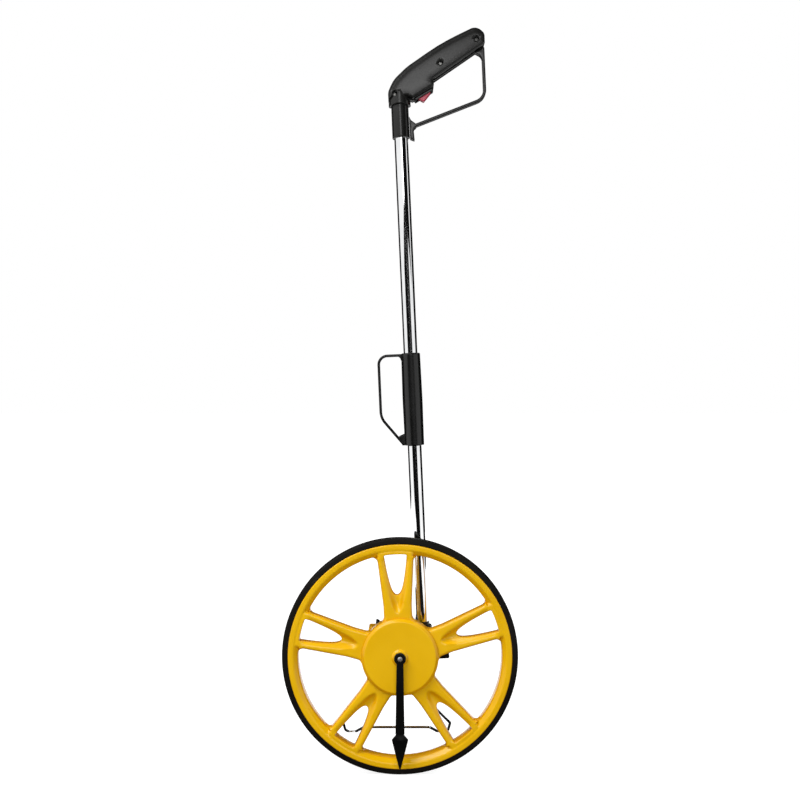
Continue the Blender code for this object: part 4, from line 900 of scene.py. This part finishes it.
def make_bracket():
    """The gear case round the axle with the tube's socket and its clamp ear."""
    low, high = reach("axle_bracket", wheel_line)
    front, rear = case_front, low.z
    floor, end = front - case_floor, front - case_barrel_end
    case = [(case_bore, high.z), (case_neck_radius, high.z, 0.3), (case_neck_radius, front),
            (case_radius, front, 2.6), (case_radius, rear, 0.3), (case_radius - case_wall, rear, 0.3),
            (case_radius - case_wall, floor, 1), (case_barrel_radius, floor, 1),
            (case_barrel_radius, end, 0.5), (case_bore, end)]
    middle = (axle - fold).z / along_shaft.z / mm
    foot, head = middle - socket_below, middle + socket_above
    socket = [(0, foot + socket_floor), (tube_clearance, foot + socket_floor), (tube_clearance, head, 0.2),
              (socket_radius, head, 1.0), (socket_radius, foot, 2.0), (0, foot)]
    band = [(socket_radius - 0.3, head - 1.4, 0.2), (socket_band_radius, head - 1.8, 0.5),
            (socket_band_radius, head - 6.5, 0.5), (socket_radius - 0.3, head - 7, 0.2)]
    low_edge, high_edge = middle - clamp_below, middle + clamp_above
    ear = rounded([(0, low_edge), (clamp_reach, low_edge, 2.5), (clamp_reach - clamp_slant, high_edge, 3),
                   (0, high_edge)])
    plate = slab([ear, circle(clamp_bolt_bore, 32, clamp_bolt_out, middle)], -clamp_half, clamp_half, 1.1)
    slit = block((4, middle - 20, -clamp_slit), (40, middle + 20, clamp_slit))
    bore = peg(tube_clearance, foot + socket_floor, head + 5, steps=96)
    to_wheel = between(shaft_line, wheel_line)
    standing = to_wheel @ z_to_y
    parts = [moved(turned(rounded(socket, False), 96), standing), moved(turned(rounded(band), 96), standing)]
    cuts = [moved(slit, to_wheel), moved(bore, standing)]
    form = fused([turned(rounded(case), 128)] + parts + [moved(plate, to_wheel)], cuts)
    piece("gear_case", form, wheel_line, "black_plastic", "chassis", "axle_bracket")
    line = shaft_line @ Matrix.Translation((clamp_bolt_out, middle, clamp_half + gap))
    screw("clamp_screw", line, 3, 3.5, 2, 14.6, "chassis", "clamp_bolt")


# The counter

housing_wall = 2.5
housing_post = 8
cover_bore = 4.6
cover_panel_inset = 9
cover_panel_depth = 0.54
bezel_chamfer = 1.8
digit_height = 5.2
digit_depth = 0.15
digit_rise = 0.2
drum_bore = 2.8
knob_radius = 8
knob_flute = 0.45
knob_dish_radius = 5.2


def make_housing():
    """The counter's housing and the cover that closes its back."""
    low, high = reach("counter_housing", ground_line)
    outline = oblong(low.x, low.y, high.x, high.y, 3)
    window = sum(reach("window_lens", ground_line), Vector()) / 2
    shell = slab([outline], low.z, high.z, 1.6, 0.3, grid=8)
    inner, outer = low.xy + Vector((housing_wall,) * 2), high.xy - Vector((housing_wall,) * 2)
    front = high.z - housing_wall
    cuts = [block((inner.x + housing_post, inner.y, low.z - 1), (outer.x - housing_post, outer.y, front)),
            block((inner.x, inner.y + housing_post, low.z - 1), (outer.x, outer.y - housing_post, front)),
            block((window.x - 10, outer.y - 1, window.z - 9.5), (window.x + 10, high.y + 1, window.z + 9.5))]
    piece("counter_case", fused([shell], cuts), ground_line, "yellow_plastic", "chassis", "counter_housing")

    back, front = reach("housing_cover", ground_line)

    def outside(x, y, d):
        return back.z + cover_panel_depth * smooth_step((d - cover_panel_inset) / 1.2) + drop(d, 1.4)

    panel = inset(divided(outline, 2), cover_panel_inset + 0.5)
    hole = circle(cover_bore, 32, counter.x / mm, counter.z / mm)
    form = relief([outline, hole], lambda x, y, d: front.z, outside, (0.2, 0.7, 1.4, 9, 9.6, 10.2), 5, 2,
                  [panel])
    piece("counter_lid", form, ground_line, "yellow_plastic", "chassis", "housing_cover")
    for i in range(4):
        node = f"cover_screw_{i + 1}"
        corner = sum(reach(node, ground_line), Vector()) / 2
        line = line_at(Vector((corner.x, -back.z + gap, corner.y)) * mm, upward, right)
        screw(f"lid_screw_{i + 1}", line, 2, 2.8, 1.3, 12, "chassis", node)


def make_window():
    """The counter's window in the top of its housing."""
    top = reach("counter_housing", ground_line)[1].y
    middle = sum(reach("window_lens", ground_line), Vector()) / 2
    line = line_at(Vector((middle.x, -middle.z, top + gap)) * mm, right, rearward)
    low, high = reach("window_bezel", line)
    lens_low, lens_high = reach("window_lens", line)
    hole = oblong(lens_low.x - gap, lens_low.y - gap, lens_high.x + gap, lens_high.y + gap, 0.4)

    def crown(x, y, d):
        inner = min(lens_high.x - abs(x), lens_high.y - abs(y))
        return high.z - drop(d, 1.3) - bezel_chamfer * smooth_step((inner + 4.2) / 4)

    form = relief([oblong(low.x, low.y, high.x, high.y, 2.6), hole], crown, lambda x, y, d: drop(d, 0.2),
                  (0.17, 0.65, 1.3), 1.5, 1.0)
    piece("window_frame", form, line, "black_plastic", "chassis", "window_bezel")
    form = relief([oblong(lens_low.x, lens_low.y, lens_high.x, lens_high.y, 0.6)],
                  lambda x, y, d: lens_high.z - drop(d, 0.3) + 0.5 * math.cos(x / lens_high.x * 1.3),
                  lambda x, y, d: drop(d, 0.2), (0.1, 0.3), 2.0, 1.5)
    piece("window_glass", form, line, "clear_plastic", "chassis", "window_lens")


def make_drums():
    """The five number drums with their digits."""
    bodies = {"tenths": "first_drum", "metres": "second_drum", "tens": "third_drum",
              "hundreds": "fourth_drum", "thousands": "fifth_drum"}
    for name, body in bodies.items():
        low, high = reach(f"drum_{name}", counter_line)
        radius = high.x
        corners = [(drum_bore, low.z, 0.1), (radius, low.z, 0.35), (radius, high.z, 0.35),
                   (drum_bore, high.z, 0.1)]
        piece(f"number_drum_{name}", turned(rounded(corners, step=30), 120), counter_line, "drum_white", body,
              f"drum_{name}")
        digits(name, body, radius, (low.z + high.z) / 2, (high.z - low.z) * 0.66)


def make_knob():
    """The fluted reset knob."""
    low, high = reach("reset_knob", counter_line)
    flutes = []
    for i in range(144):
        angle = math.tau * i / 144
        radius = knob_radius - knob_flute * (1 - math.cos(12 * angle))
        flutes.append((radius * math.cos(angle), radius * math.sin(angle)))

    def dished(x, y, d):
        return low.z + drop(d, 0.9) + 0.8 * smooth_step((knob_dish_radius - math.hypot(x, y)) / 1.2)

    form = relief([flutes], lambda x, y, d: high.z - drop(d, 0.5), dished, (0.1, 0.35, 0.9), 1.0, 0.5)
    piece("knurled_knob", form, counter_line, "black_plastic", "knob", "reset_knob")


def plain_digit(digit):
    """A digit's solid, flat at z = 0 and raised to z = 1, cut across so that it can bend round a drum."""
    text = bpy.data.curves.new("digit", "FONT")
    text.body = str(digit)
    text.align_x, text.align_y = "CENTER", "CENTER"
    text.resolution_u = 3
    holder = bpy.data.objects.new("digit", text)
    scene.collection.objects.link(holder)
    mesh = bpy.data.meshes.new_from_object(holder.evaluated_get(bpy.context.evaluated_depsgraph_get()))
    shape = bmesh.new()
    shape.from_mesh(mesh)
    bmesh.ops.remove_doubles(shape, verts=shape.verts, dist=0.0005)
    for height in (-0.25, -0.12, 0, 0.12, 0.25):
        bmesh.ops.bisect_plane(shape, geom=shape.verts[:] + shape.edges[:] + shape.faces[:],
                               plane_co=(0, height, 0), plane_no=(0, 1, 0))
    solid = bmesh.ops.extrude_face_region(shape, geom=shape.faces[:])
    for raised in solid["geom"]:
        if isinstance(raised, bmesh.types.BMVert):
            raised.co.z = 1
    bmesh.ops.recalc_face_normals(shape, faces=shape.faces)
    shape.verts.index_update()
    points = [vertex.co.copy() for vertex in shape.verts]
    faces = [[vertex.index for vertex in face.verts] for face in shape.faces]
    shape.free()
    bpy.data.objects.remove(holder)
    bpy.data.curves.remove(text)
    bpy.data.meshes.remove(mesh)
    return points, faces


def digits(name, body, radius, middle, width):
    """The ten plain digits printed round a drum. They read from the user's side, and nought stands up."""
    points, faces = [], []
    for digit in range(10):
        corners, sides = plain_digit(digit)
        wide, high = [max(c[k] for c in corners) - min(c[k] for c in corners) for k in (0, 1)]
        scale = min(digit_height / high, width / max(wide, 0.3))
        start = len(points)
        for corner in corners:
            angle = math.pi / 2 + digit * math.tau / 10 + corner.y * digit_height / high / radius
            r = radius - digit_depth + digit_rise * corner.z
            points.append((r * math.cos(angle), r * math.sin(angle), middle - corner.x * scale))
        faces += [tuple(start + i for i in side) for side in sides]
    piece(f"digits_{name}", (points, faces), counter_line, "digit_ink", body, slot="black_plastic")


# The stand

stand_wire_radius = 1.9
stand_hinge_half = 35
stand_foot_half = 79.6
stand_foot_inner = 62.7
stand_toe_radius = 11
stand_knee = 32.8
stand_bar_half = 49.3
stand_bar_lift = 17.4
mount_thickness = 4
mount_lug_width = 5
mount_lug_radius = 6
mount_bore = 2.2


def make_stand():
    """The bent wire stand and the bracket that it turns in."""
    low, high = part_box("stand_wire")
    radius = stand_wire_radius
    centre = stand_hinge / mm
    slope = math.atan2(centre.z - radius, (high.y / mm - radius) - centre.y)
    line = line_at(stand_hinge, right, Vector((0, -math.cos(slope), math.sin(slope))))
    depth = (centre.z - radius) / math.sin(slope)
    toe = stand_toe_radius
    path = [(stand_hinge_half - 10, 0, 0), (stand_hinge_half, 0, 1.6 * radius),
            (stand_foot_half, stand_knee - depth, 6), (stand_foot_half - toe / 4, -depth, toe),
            (stand_foot_inner, -depth, toe / 2), (stand_bar_half, stand_bar_lift - depth, 5)]
    path += [(-x, y, soft) for x, y, soft in path[::-1]]
    path = [(x, y, 0) for x, y in rounded(path, closed=False, step=8)]
    piece("wire_stand", wire(path, radius, 20), line, "chrome", "stand", "stand_wire")

    side_line = line_at(Vector((centre.x, 0, 0)) * mm, rearward, upward)
    low, high = reach("stand_bracket", side_line)
    top, under, round_hinge = high.y, high.y - mount_thickness, mount_lug_radius
    rear = centre.y - round_hinge
    base = slab([oblong(low.z, low.x, high.z, rear, 2)], 0, mount_thickness, 0.9, 0.3)
    base_line = line_at(Vector((centre.x, 0, under)) * mm, right, rearward)
    hinge = (centre.y, centre.z)
    tip = (centre.y + round_hinge, centre.z)
    outline = [(rear - 15, top - 0.4), (rear - 15, under)]
    outline += arc(hinge, (centre.y, centre.z - round_hinge), tip, 10)
    outline += arc(hinge, tip, (centre.y, centre.z + round_hinge), 10)[1:]
    outline += [(rear, top - mount_thickness / 2), (rear, top - 0.4)]
    lugs = []
    for side in (-1, 1):
        ends = sorted((side * high.z, side * (high.z - mount_lug_width)))
        lugs.append(slab([outline, circle(mount_bore, 32, *hinge)], *ends, 0.7))
    form = fused([moved(base, between(base_line, side_line))] + lugs, [peg(mount_bore, -50, 50, *hinge)])
    piece("stand_mount", form, side_line, "black_plastic", "chassis", "stand_bracket")
    for i in (1, 2):
        node = f"stand_screw_{i}"
        low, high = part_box(node)
        at = Vector(((low.x + high.x) / 2, (low.y + high.y) / 2, (under - gap) * mm))
        screw(f"mount_screw_{i}", line_at(at, rearward, right), 2, 2.8, 1.3, 6.8, "chassis", node)


# The shaft

sleeve_radii = (13, 13.75, 13.3)
sleeve_belly = 900
sleeve_fit = 0.02
sleeve_cone_radius = 12.34
sleeve_cone = math.radians(28)
bow_thickness = 3.6
bow_reach = 30.9
bow_bend_height = 39.3
bow_inner = -13.6
bow_root = -12


def make_shaft():
    """The two chromed tubes, and the lock sleeve with its carrying bow. Heights start at the fold."""
    for name, node, body in (("tube_below", "lower_tube", "chassis"),
                             ("tube_above", "upper_tube", "upper_shaft")):
        low, high = reach(node, shaft_line)
        corners = [(tube_bore, low.y, 0.2), (tube_radius, low.y, 0.4), (tube_radius, high.y, 0.4),
                   (tube_bore, high.y, 0.2)]
        piece(name, upright(corners, 128, step=30), shaft_line, "chrome", body, node)

    low, high = reach("lock_sleeve", shaft_line)
    foot, top = low.y, high.y
    belly = (foot + top) / 2
    at_top, at_belly, at_foot = sleeve_radii
    cone = sleeve_cone_radius
    corners = [(tube_clearance, top, 0.3), (at_top, top, 1.8), (at_belly, belly, sleeve_belly),
               (at_foot, foot, 0.9), (cone, foot, 0.2),
               (tube_clearance, foot + (cone - tube_clearance) / math.tan(sleeve_cone))]
    form = upright(corners, 128, step=12)
    piece("sliding_sleeve", form, shaft_line, "satin_black", "sleeve", "lock_sleeve")

    inner, root, outer = bow_inner, bow_root, bow_inner - bow_reach
    arm, bend = top - 2.6, foot + bow_bend_height
    path = rounded([(root, arm), (outer, arm, 12), (outer, bend, 24), (inner - 1.8, foot + 2.4)],
                   closed=False, step=7)
    strap = bow_part(ribbon(path, bow_thickness), 1.3, 1.2)
    gusset = bow_part(rounded([(root, foot + gap), (root, foot + 17), (inner - 8, foot + 13, 2),
                               (inner - 3, foot + gap, 1)]))
    web = bow_part([(root, arm + 1.5), (inner - 6, arm + 0.8)]
                   + arc((inner - 6, arm - 7), (inner - 6, arm - 1.2), (inner - 0.2, arm - 7), 8)
                   + [(root, arm - 7)])
    fit = sleeve_fit
    saddle = [(0, top + 5), (at_top + fit, top + 5), (at_top + fit, top),
              (at_belly + fit, belly, sleeve_belly), (at_foot + fit, foot), (at_foot + fit, foot - 5),
              (0, foot - 5)]
    cuts = [upright(saddle, 128, False, 12), block((outer - 5, foot - 40, -20), (inner + 5, foot, 20))]
    piece("carrying_bow", fused([strap, gusset, web], cuts), shaft_line, "satin_black", "sleeve", "carry_bow")


# The handle

handle_above_hinge = 432.9
handle_reach = 120.6
handle_rise = 112.7
handle_half = 15
handle_corner_radius = 4.4
handle_seam = 0.15
handle_top_edge = 8
handle_under_edge = 2.8
handle_crown = 0.9
handle_back_shares = ((-0.128, 0.09), (-0.128, 0.193), (-0.062, 0.335), (0.1, 0.489), (0.5, 0.76))
handle_back_radii = (0, 16, 40, 70, 300)
handle_tip_shares = ((0.999, 0.992), (0.996, 0.715))
handle_tip_radius = 13.5
handle_collar_top = 21.7
handle_collar_radius = 15.2
handle_collar_lift = 1.6
handle_pit_radius = 3.4
handle_pit_depth = 9
handle_pit_rim = 0.7
socket_bore = 12.3
handle_under_shares = ((0.393, 0.312), (0.4, 0.233), (0.15, 0.087), (0.082, 0.12))
handle_screw_shares = ((0.902, 0.778), (0.483, 0.508), (-0.053, 0.157))
guard_shares = ((0.976, 0.69), (0.976, 0.073), (0.15, -0.229))
guard_root_shares = ((0.88, 0.63), (0.992, 0.7), (0.992, 0.54), (0.96, 0.54), (0.945, 0.59))
guard_gusset_shares = ((0.0, -0.11), (0.018, -0.155), (0.075, -0.204), (0.075, -0.25), (0.045, -0.27),
                       (0.052, -0.41), (0.0, -0.385))
guard_thickness = 4.4
guard_corner_radius = 17
trigger_seat = 0.485
trigger_half = 14.5
trigger_rise = 9.8
trigger_frame_half = 9.5
trigger_well = (12, 6.1)
trigger_shares = ((-0.566, 0.4), (-0.35, 0.96), (-0.28, 0.96), (0.66, 0.45), (0.7, -0.4), (-0.6, -0.4))
trigger_pin_share = 0.57
trigger_pin_height = 5.4
trigger_pin_bore = 1.8


def on_handle(shares):
    """A place on the handle, from its shares of the handle's reach and rise."""
    return (shares[0] * handle_reach, handle_above_hinge + shares[1] * handle_rise)


def handle_outline():
    """The handle's side view without the collar round the tube."""
    back = with_radii([on_handle(shares) for shares in handle_back_shares], handle_back_radii)
    tip, heel = [on_handle(shares) for shares in handle_tip_shares]
    under = [on_handle(shares) for shares in handle_under_shares[::-1]]
    soft = handle_corner_radius
    corners = with_radii(under, (0, 0, soft, soft)) + [(*heel, soft), (*tip, handle_tip_radius)]
    return rounded(corners + back[::-1], step=6)


def arched(form, foot, rise):
    """A round form about Y whose foot is higher at its front and back than at its sides."""
    points = []
    for x, y, z in form[0]:
        share = max(0, 1 - (y - foot) / 6)
        points.append((x, y + rise * share * z * z / max(x * x + z * z, 0.01), z))
    return points, form[1]


def make_grip():
    """The handle's half shells with their screws, and the collar of the socket that holds the tube."""
    outline = handle_outline()
    foot = handle_above_hinge
    pits = [on_handle(shares) for shares in handle_screw_shares]
    axis_foot = Vector(on_handle((0, 0.15)))
    axis = (Vector(on_handle((0.95, 0.84))) - axis_foot).normalized()

    def face(x, y, d):
        above = (y - axis_foot.y) * axis.x - (x - axis_foot.x) * axis.y
        edge = handle_under_edge + (handle_top_edge - handle_under_edge) * smooth_step((above + 5) / 10)
        height = handle_half - drop(d, edge) - handle_crown * (1 - min(d, 15) / 15) ** 2
        for px, py in pits:
            away = math.hypot(x - px, y - py) - handle_pit_radius
            if away < 0:
                return handle_half - handle_pit_depth
            height -= 0.5 * max(0, 1 - away / handle_pit_rim)
        return height

    lines = [circle(r, 40, *pit) for pit in pits for r in (3.2, 3.45, 3.8, 4.2)]
    rings = [0.12, 0.45, 1, 1.8, 2.8, 4, 5.6, 8, 11]
    half = relief([outline], face, lambda x, y, d: handle_seam + drop(d, 0.5), rings, 4, 1.5, lines)
    tall, lift = foot + handle_collar_top, foot + handle_collar_lift
    collar = [(0, tall, 0), (handle_collar_radius, tall, 2), (handle_collar_radius, lift, 1.2), (0, lift, 0)]
    collar = arched(upright(collar, closed=False), lift, 2.2)
    bore = moved(peg(socket_bore, foot - 5, foot + 10.5, steps=96), z_to_y)
    other = block((-60, foot - 60, -60), (200, foot + 200, handle_seam))
    long, wide = trigger_well
    well = moved(block((-long, -6, -wide), (long, long, wide)), trigger_turn())
    pit = peg(handle_pit_radius, handle_half - handle_pit_depth, 20, *pits[2], steps=40)
    front = fused([half, collar], [other, bore, well, pit])
    piece("grip_half_front", front, shaft_line, "black_plastic", "upper_shaft", "handle_shell_front")
    mirrored = [(x, y, -z) for x, y, z in front[0]], [face[::-1] for face in front[1]]
    piece("grip_half_rear", mirrored, shaft_line, "black_plastic", "upper_shaft", "handle_shell_rear")
    for i, (x, y) in enumerate(pits):
        line = shaft_line @ Matrix.Translation((x, y, handle_half - handle_pit_depth + gap))
        screw(f"grip_screw_{i + 1}", line, 2, 3, 1.5, 8, "upper_shaft", f"handle_screw_{i + 1}")

    low, high = reach("handle_socket", shaft_line)
    outer = socket_bore - gap
    corners = [(tube_clearance, high.y, 0.2), (outer, high.y, 0.4), (outer, low.y, 0.7),
               (tube_clearance, low.y, 0.3)]
    form = arched(upright(corners, 128, step=15), low.y, 0.9)
    piece("tube_collar", form, shaft_line, "black_plastic", "upper_shaft", "handle_socket")


def make_guard():
    """The guard bow in front of the fingers, with its two roots on the handle."""
    top, corner, root = [on_handle(shares) for shares in guard_shares]
    path = rounded([top, (*corner, guard_corner_radius), root], closed=False, step=6)
    strap = bow_part(ribbon(path, guard_thickness), 1.5, 1.2)
    upper = [on_handle(shares) for shares in guard_root_shares]
    upper = bow_part(rounded(with_radii(upper, (0, 0.8, 0, 0, 6))))
    lower = [(socket_bore + x * handle_reach, handle_above_hinge + y * handle_rise)
             for x, y in guard_gusset_shares]
    lower = bow_part(rounded(with_radii(lower, (0, 2, 4, 0, 4, 0.8, 0))))
    shell = inset(divided(handle_outline(), 1.5), -gap)
    clear = relief([shell], lambda x, y, d: 15, lambda x, y, d: -15, (1,), 8)
    piece("guard_strap", fused([strap, upper, lower], [clear]), shaft_line, "black_plastic", "upper_shaft",
          "guard_bow")


def trigger_turn():
    """The matrix from the trigger's own directions to the shaft's, at its seat under the handle."""
    near, far = [Vector(on_handle(shares)) for shares in handle_under_shares[2:0:-1]]
    along = (far - near).normalized()
    seat = near + (far - near) * trigger_seat
    return Matrix(((along.x, -along.y, 0, seat.x), (along.y, along.x, 0, seat.y), (0, 0, 1, 0), (0, 0, 0, 1)))


def make_trigger():
    """The trigger and the frame that it moves in."""
    turn = trigger_turn()
    underside = turn @ Matrix.Rotation(math.pi / 2, 4, "X")
    half, rise = trigger_half, trigger_frame_half
    long, wide = trigger_well
    hole = oblong(-long - gap, -wide, long + gap, wide, 0.6)
    form = slab([oblong(-half, -rise, half, rise, 1.8), hole], 0.3, 3.6, 0.8, 0.2, grid=3, step=1)
    piece("trigger_frame", form, shaft_line @ underside, "black_plastic", "upper_shaft", "trigger_bezel")

    lever = [(x * half, -y * trigger_rise) for x, y in trigger_shares]
    lever = slab([rounded(with_radii(lever, (1, 1.6, 1.6, 1.2, 0.5, 0.5)))], -5.5, 5.5, 1.0, grid=2, step=0.8)
    pin = (half * trigger_pin_share, trigger_pin_height)
    eye = moved(turned(rounded([(0, 5.5), (3.2, 5.5, 0.4), (3.2, -5.5, 0.4), (0, -5.5)], closed=False), 32),
                Matrix.Translation((*pin, 0)))
    piece("trigger_lever_grip", fused([lever, eye], [peg(trigger_pin_bore, -9, 9, *pin)]), shaft_line @ turn,
          "red_plastic", "trigger_lever", "trigger")


make_wheel()
make_pointer()
make_bracket()
make_housing()
make_window()
make_drums()
make_knob()
make_stand()
make_shaft()
make_grip()
make_guard()
make_trigger()

# The solids that stay in sight take the finish of their slot
slots = {row["node"]: row["material_slot"] for row in frame["record"]["subparts"]}
for name, node in frame["nodes"].items():
    node.data.materials.clear()
    node.data.materials.append(finishes[slots[name]].material)


# Studio, in metres and watts

floor_colour = 0.4
floor_glow = 0.85
glow_rise = 0.1
glow_near = 0.8
glow_far = 3.0
card_colour = 0.006
lamp_target = (0, 0, 0.4)
sky_light = 0.3
camera_distance = 1.5746
camera_height = 0.5038
lens_length = 52.425
sensor_width = 36


def seen_rays(tree):
    """One for the rays that show the background, straight or in metal or glass, and nought for the rest."""
    rays = tree.nodes.new("ShaderNodeLightPath")
    shown = rays.outputs["Is Camera Ray"]
    for kind in ("Is Glossy Ray", "Is Transmission Ray"):
        either = tree.nodes.new("ShaderNodeMath")
        either.operation = "MAXIMUM"
        tree.links.new(shown, either.inputs[0])
        tree.links.new(rays.outputs[kind], either.inputs[1])
        shown = either.outputs[0]
    return shown


def stage_material(name, colour, glow=0):
    """A studio surface. Its glow is only for rays that show the background, so that it lights nothing."""
    material = bpy.data.materials.new(name)
    material.use_nodes = True
    tree = material.node_tree
    shader = tree.nodes["Principled BSDF"]
    shader.inputs["Base Color"].default_value = (colour, colour, colour, 1)
    shader.inputs["Roughness"].default_value = 0.9
    shader.inputs["Specular IOR Level"].default_value = 0.0
    shader.inputs["Emission Color"].default_value = (1, 1, 1, 1)
    if glow:
        total = tree.nodes.new("ShaderNodeMath")
        total.operation = "MULTIPLY"
        place, away = tree.nodes.new("ShaderNodeTexCoord"), tree.nodes.new("ShaderNodeVectorMath")
        away.operation = "LENGTH"
        tree.links.new(place.outputs["Object"], away.inputs[0])
        rise = tree.nodes.new("ShaderNodeMapRange")
        for i, value in enumerate((glow_near, glow_far, glow, glow + glow_rise), 1):
            rise.inputs[i].default_value = value
        tree.links.new(away.outputs["Value"], rise.inputs[0])
        tree.links.new(rise.outputs[0], total.inputs[1])
        tree.links.new(seen_rays(tree), total.inputs[0])
        tree.links.new(total.outputs[0], shader.inputs["Emission Strength"])
    return material


def card(name, corners, material, unseen=()):
    """A flat studio surface, which some kinds of ray pass through."""
    mesh = bpy.data.meshes.new(name)
    mesh.from_pydata(corners, [], [tuple(range(len(corners)))])
    mesh.materials.append(material)
    obj = bpy.data.objects.new(name, mesh)
    scene.collection.objects.link(obj)
    for kind in unseen:
        setattr(obj, "visible_" + kind, False)
    return obj


def lamp(name, at, size, power):
    """A soft square lamp that faces the wheel."""
    data = bpy.data.lights.new(name, "AREA")
    data.shape = "RECTANGLE"
    data.size, data.size_y = size, size
    data.energy = power
    obj = bpy.data.objects.new(name, data)
    scene.collection.objects.link(obj)
    obj.location = at
    obj.rotation_euler = (Vector(lamp_target) - Vector(at)).to_track_quat("-Z", "Y").to_euler()
    return obj


def make_studio():
    """A pale floor and background, soft lamps, dark cards for the metal, and the camera."""
    floor = stage_material("studio_floor", floor_colour, floor_glow)
    card("floor", [(-40, -20, 0), (40, -20, 0), (40, 40, 0), (-40, 40, 0)], floor)
    dark = stage_material("dark_card", card_colour)
    cards = {
        "front": [(-2.2, -2.3, -0.2), (1.65, -2.3, -0.2), (1.65, -2.3, 1.35), (-2.2, -2.3, 0.95)],
        "high": [(0.3, -2.35, 1.1), (3.2, -0.8, 1.1), (3.2, -0.8, 3.6), (0.3, -2.35, 3.6)],
        "left": [(-2.9, 0.7, -0.2), (-1.6, 2.6, -0.2), (-1.6, 2.6, 3.0), (-2.9, 0.7, 3.0)],
        "right": [(2.9, 0.1, -0.2), (1.6, 2.6, -0.2), (1.6, 2.6, 3.0), (2.9, 0.1, 3.0)],
        "ground": [(-1.15, -2.3, 0.002), (0.9, -2.3, 0.002), (0.9, 0.4, 0.002), (-1.15, 0.4, 0.002)],
        "above": [(-1.3, -1.6, 1.75), (0.8, -1.6, 1.75), (0.8, 1.4, 1.75), (-1.3, 1.4, 1.75)],
        "behind": [(-1.6, 2.6, 0.05), (1.6, 2.6, 0.05), (1.6, 2.6, 1.5), (-1.6, 2.6, 1.5)],
    }
    for name, corners in cards.items():
        card("card_" + name, corners, dark, ("camera", "diffuse", "shadow", "transmission"))

    world = bpy.data.worlds.new("studio")
    scene.world = world
    world.use_nodes = True
    tree = world.node_tree
    sky = tree.nodes["Background"]
    level = tree.nodes.new("ShaderNodeMapRange")
    level.inputs["To Min"].default_value = sky_light
    level.inputs["To Max"].default_value = 1.0
    tree.links.new(seen_rays(tree), level.inputs["Value"])
    tree.links.new(level.outputs[0], sky.inputs["Strength"])
    sky.inputs["Color"].default_value = (1, 1, 1, 1)

    lamp("key_softbox", (-1.1, -1.0, 2.3), 1.5, 60)
    lamp("front_fill", (0.4, -2.7, 1.1), 1.4, 27)
    lamp("back_fill", (0.9, 2.4, 1.5), 1.4, 30).visible_glossy = False

    view = bpy.data.cameras.new("camera")
    view.lens, view.sensor_width = lens_length, sensor_width
    view.clip_start, view.clip_end = 0.05, 100
    camera = bpy.data.objects.new("camera", view)
    scene.collection.objects.link(camera)
    camera.location = (0, -camera_distance, camera_height)
    camera.rotation_euler = (math.pi / 2, 0, 0)
    scene.camera = camera
    scene.view_settings.view_transform = "Standard"


make_studio()
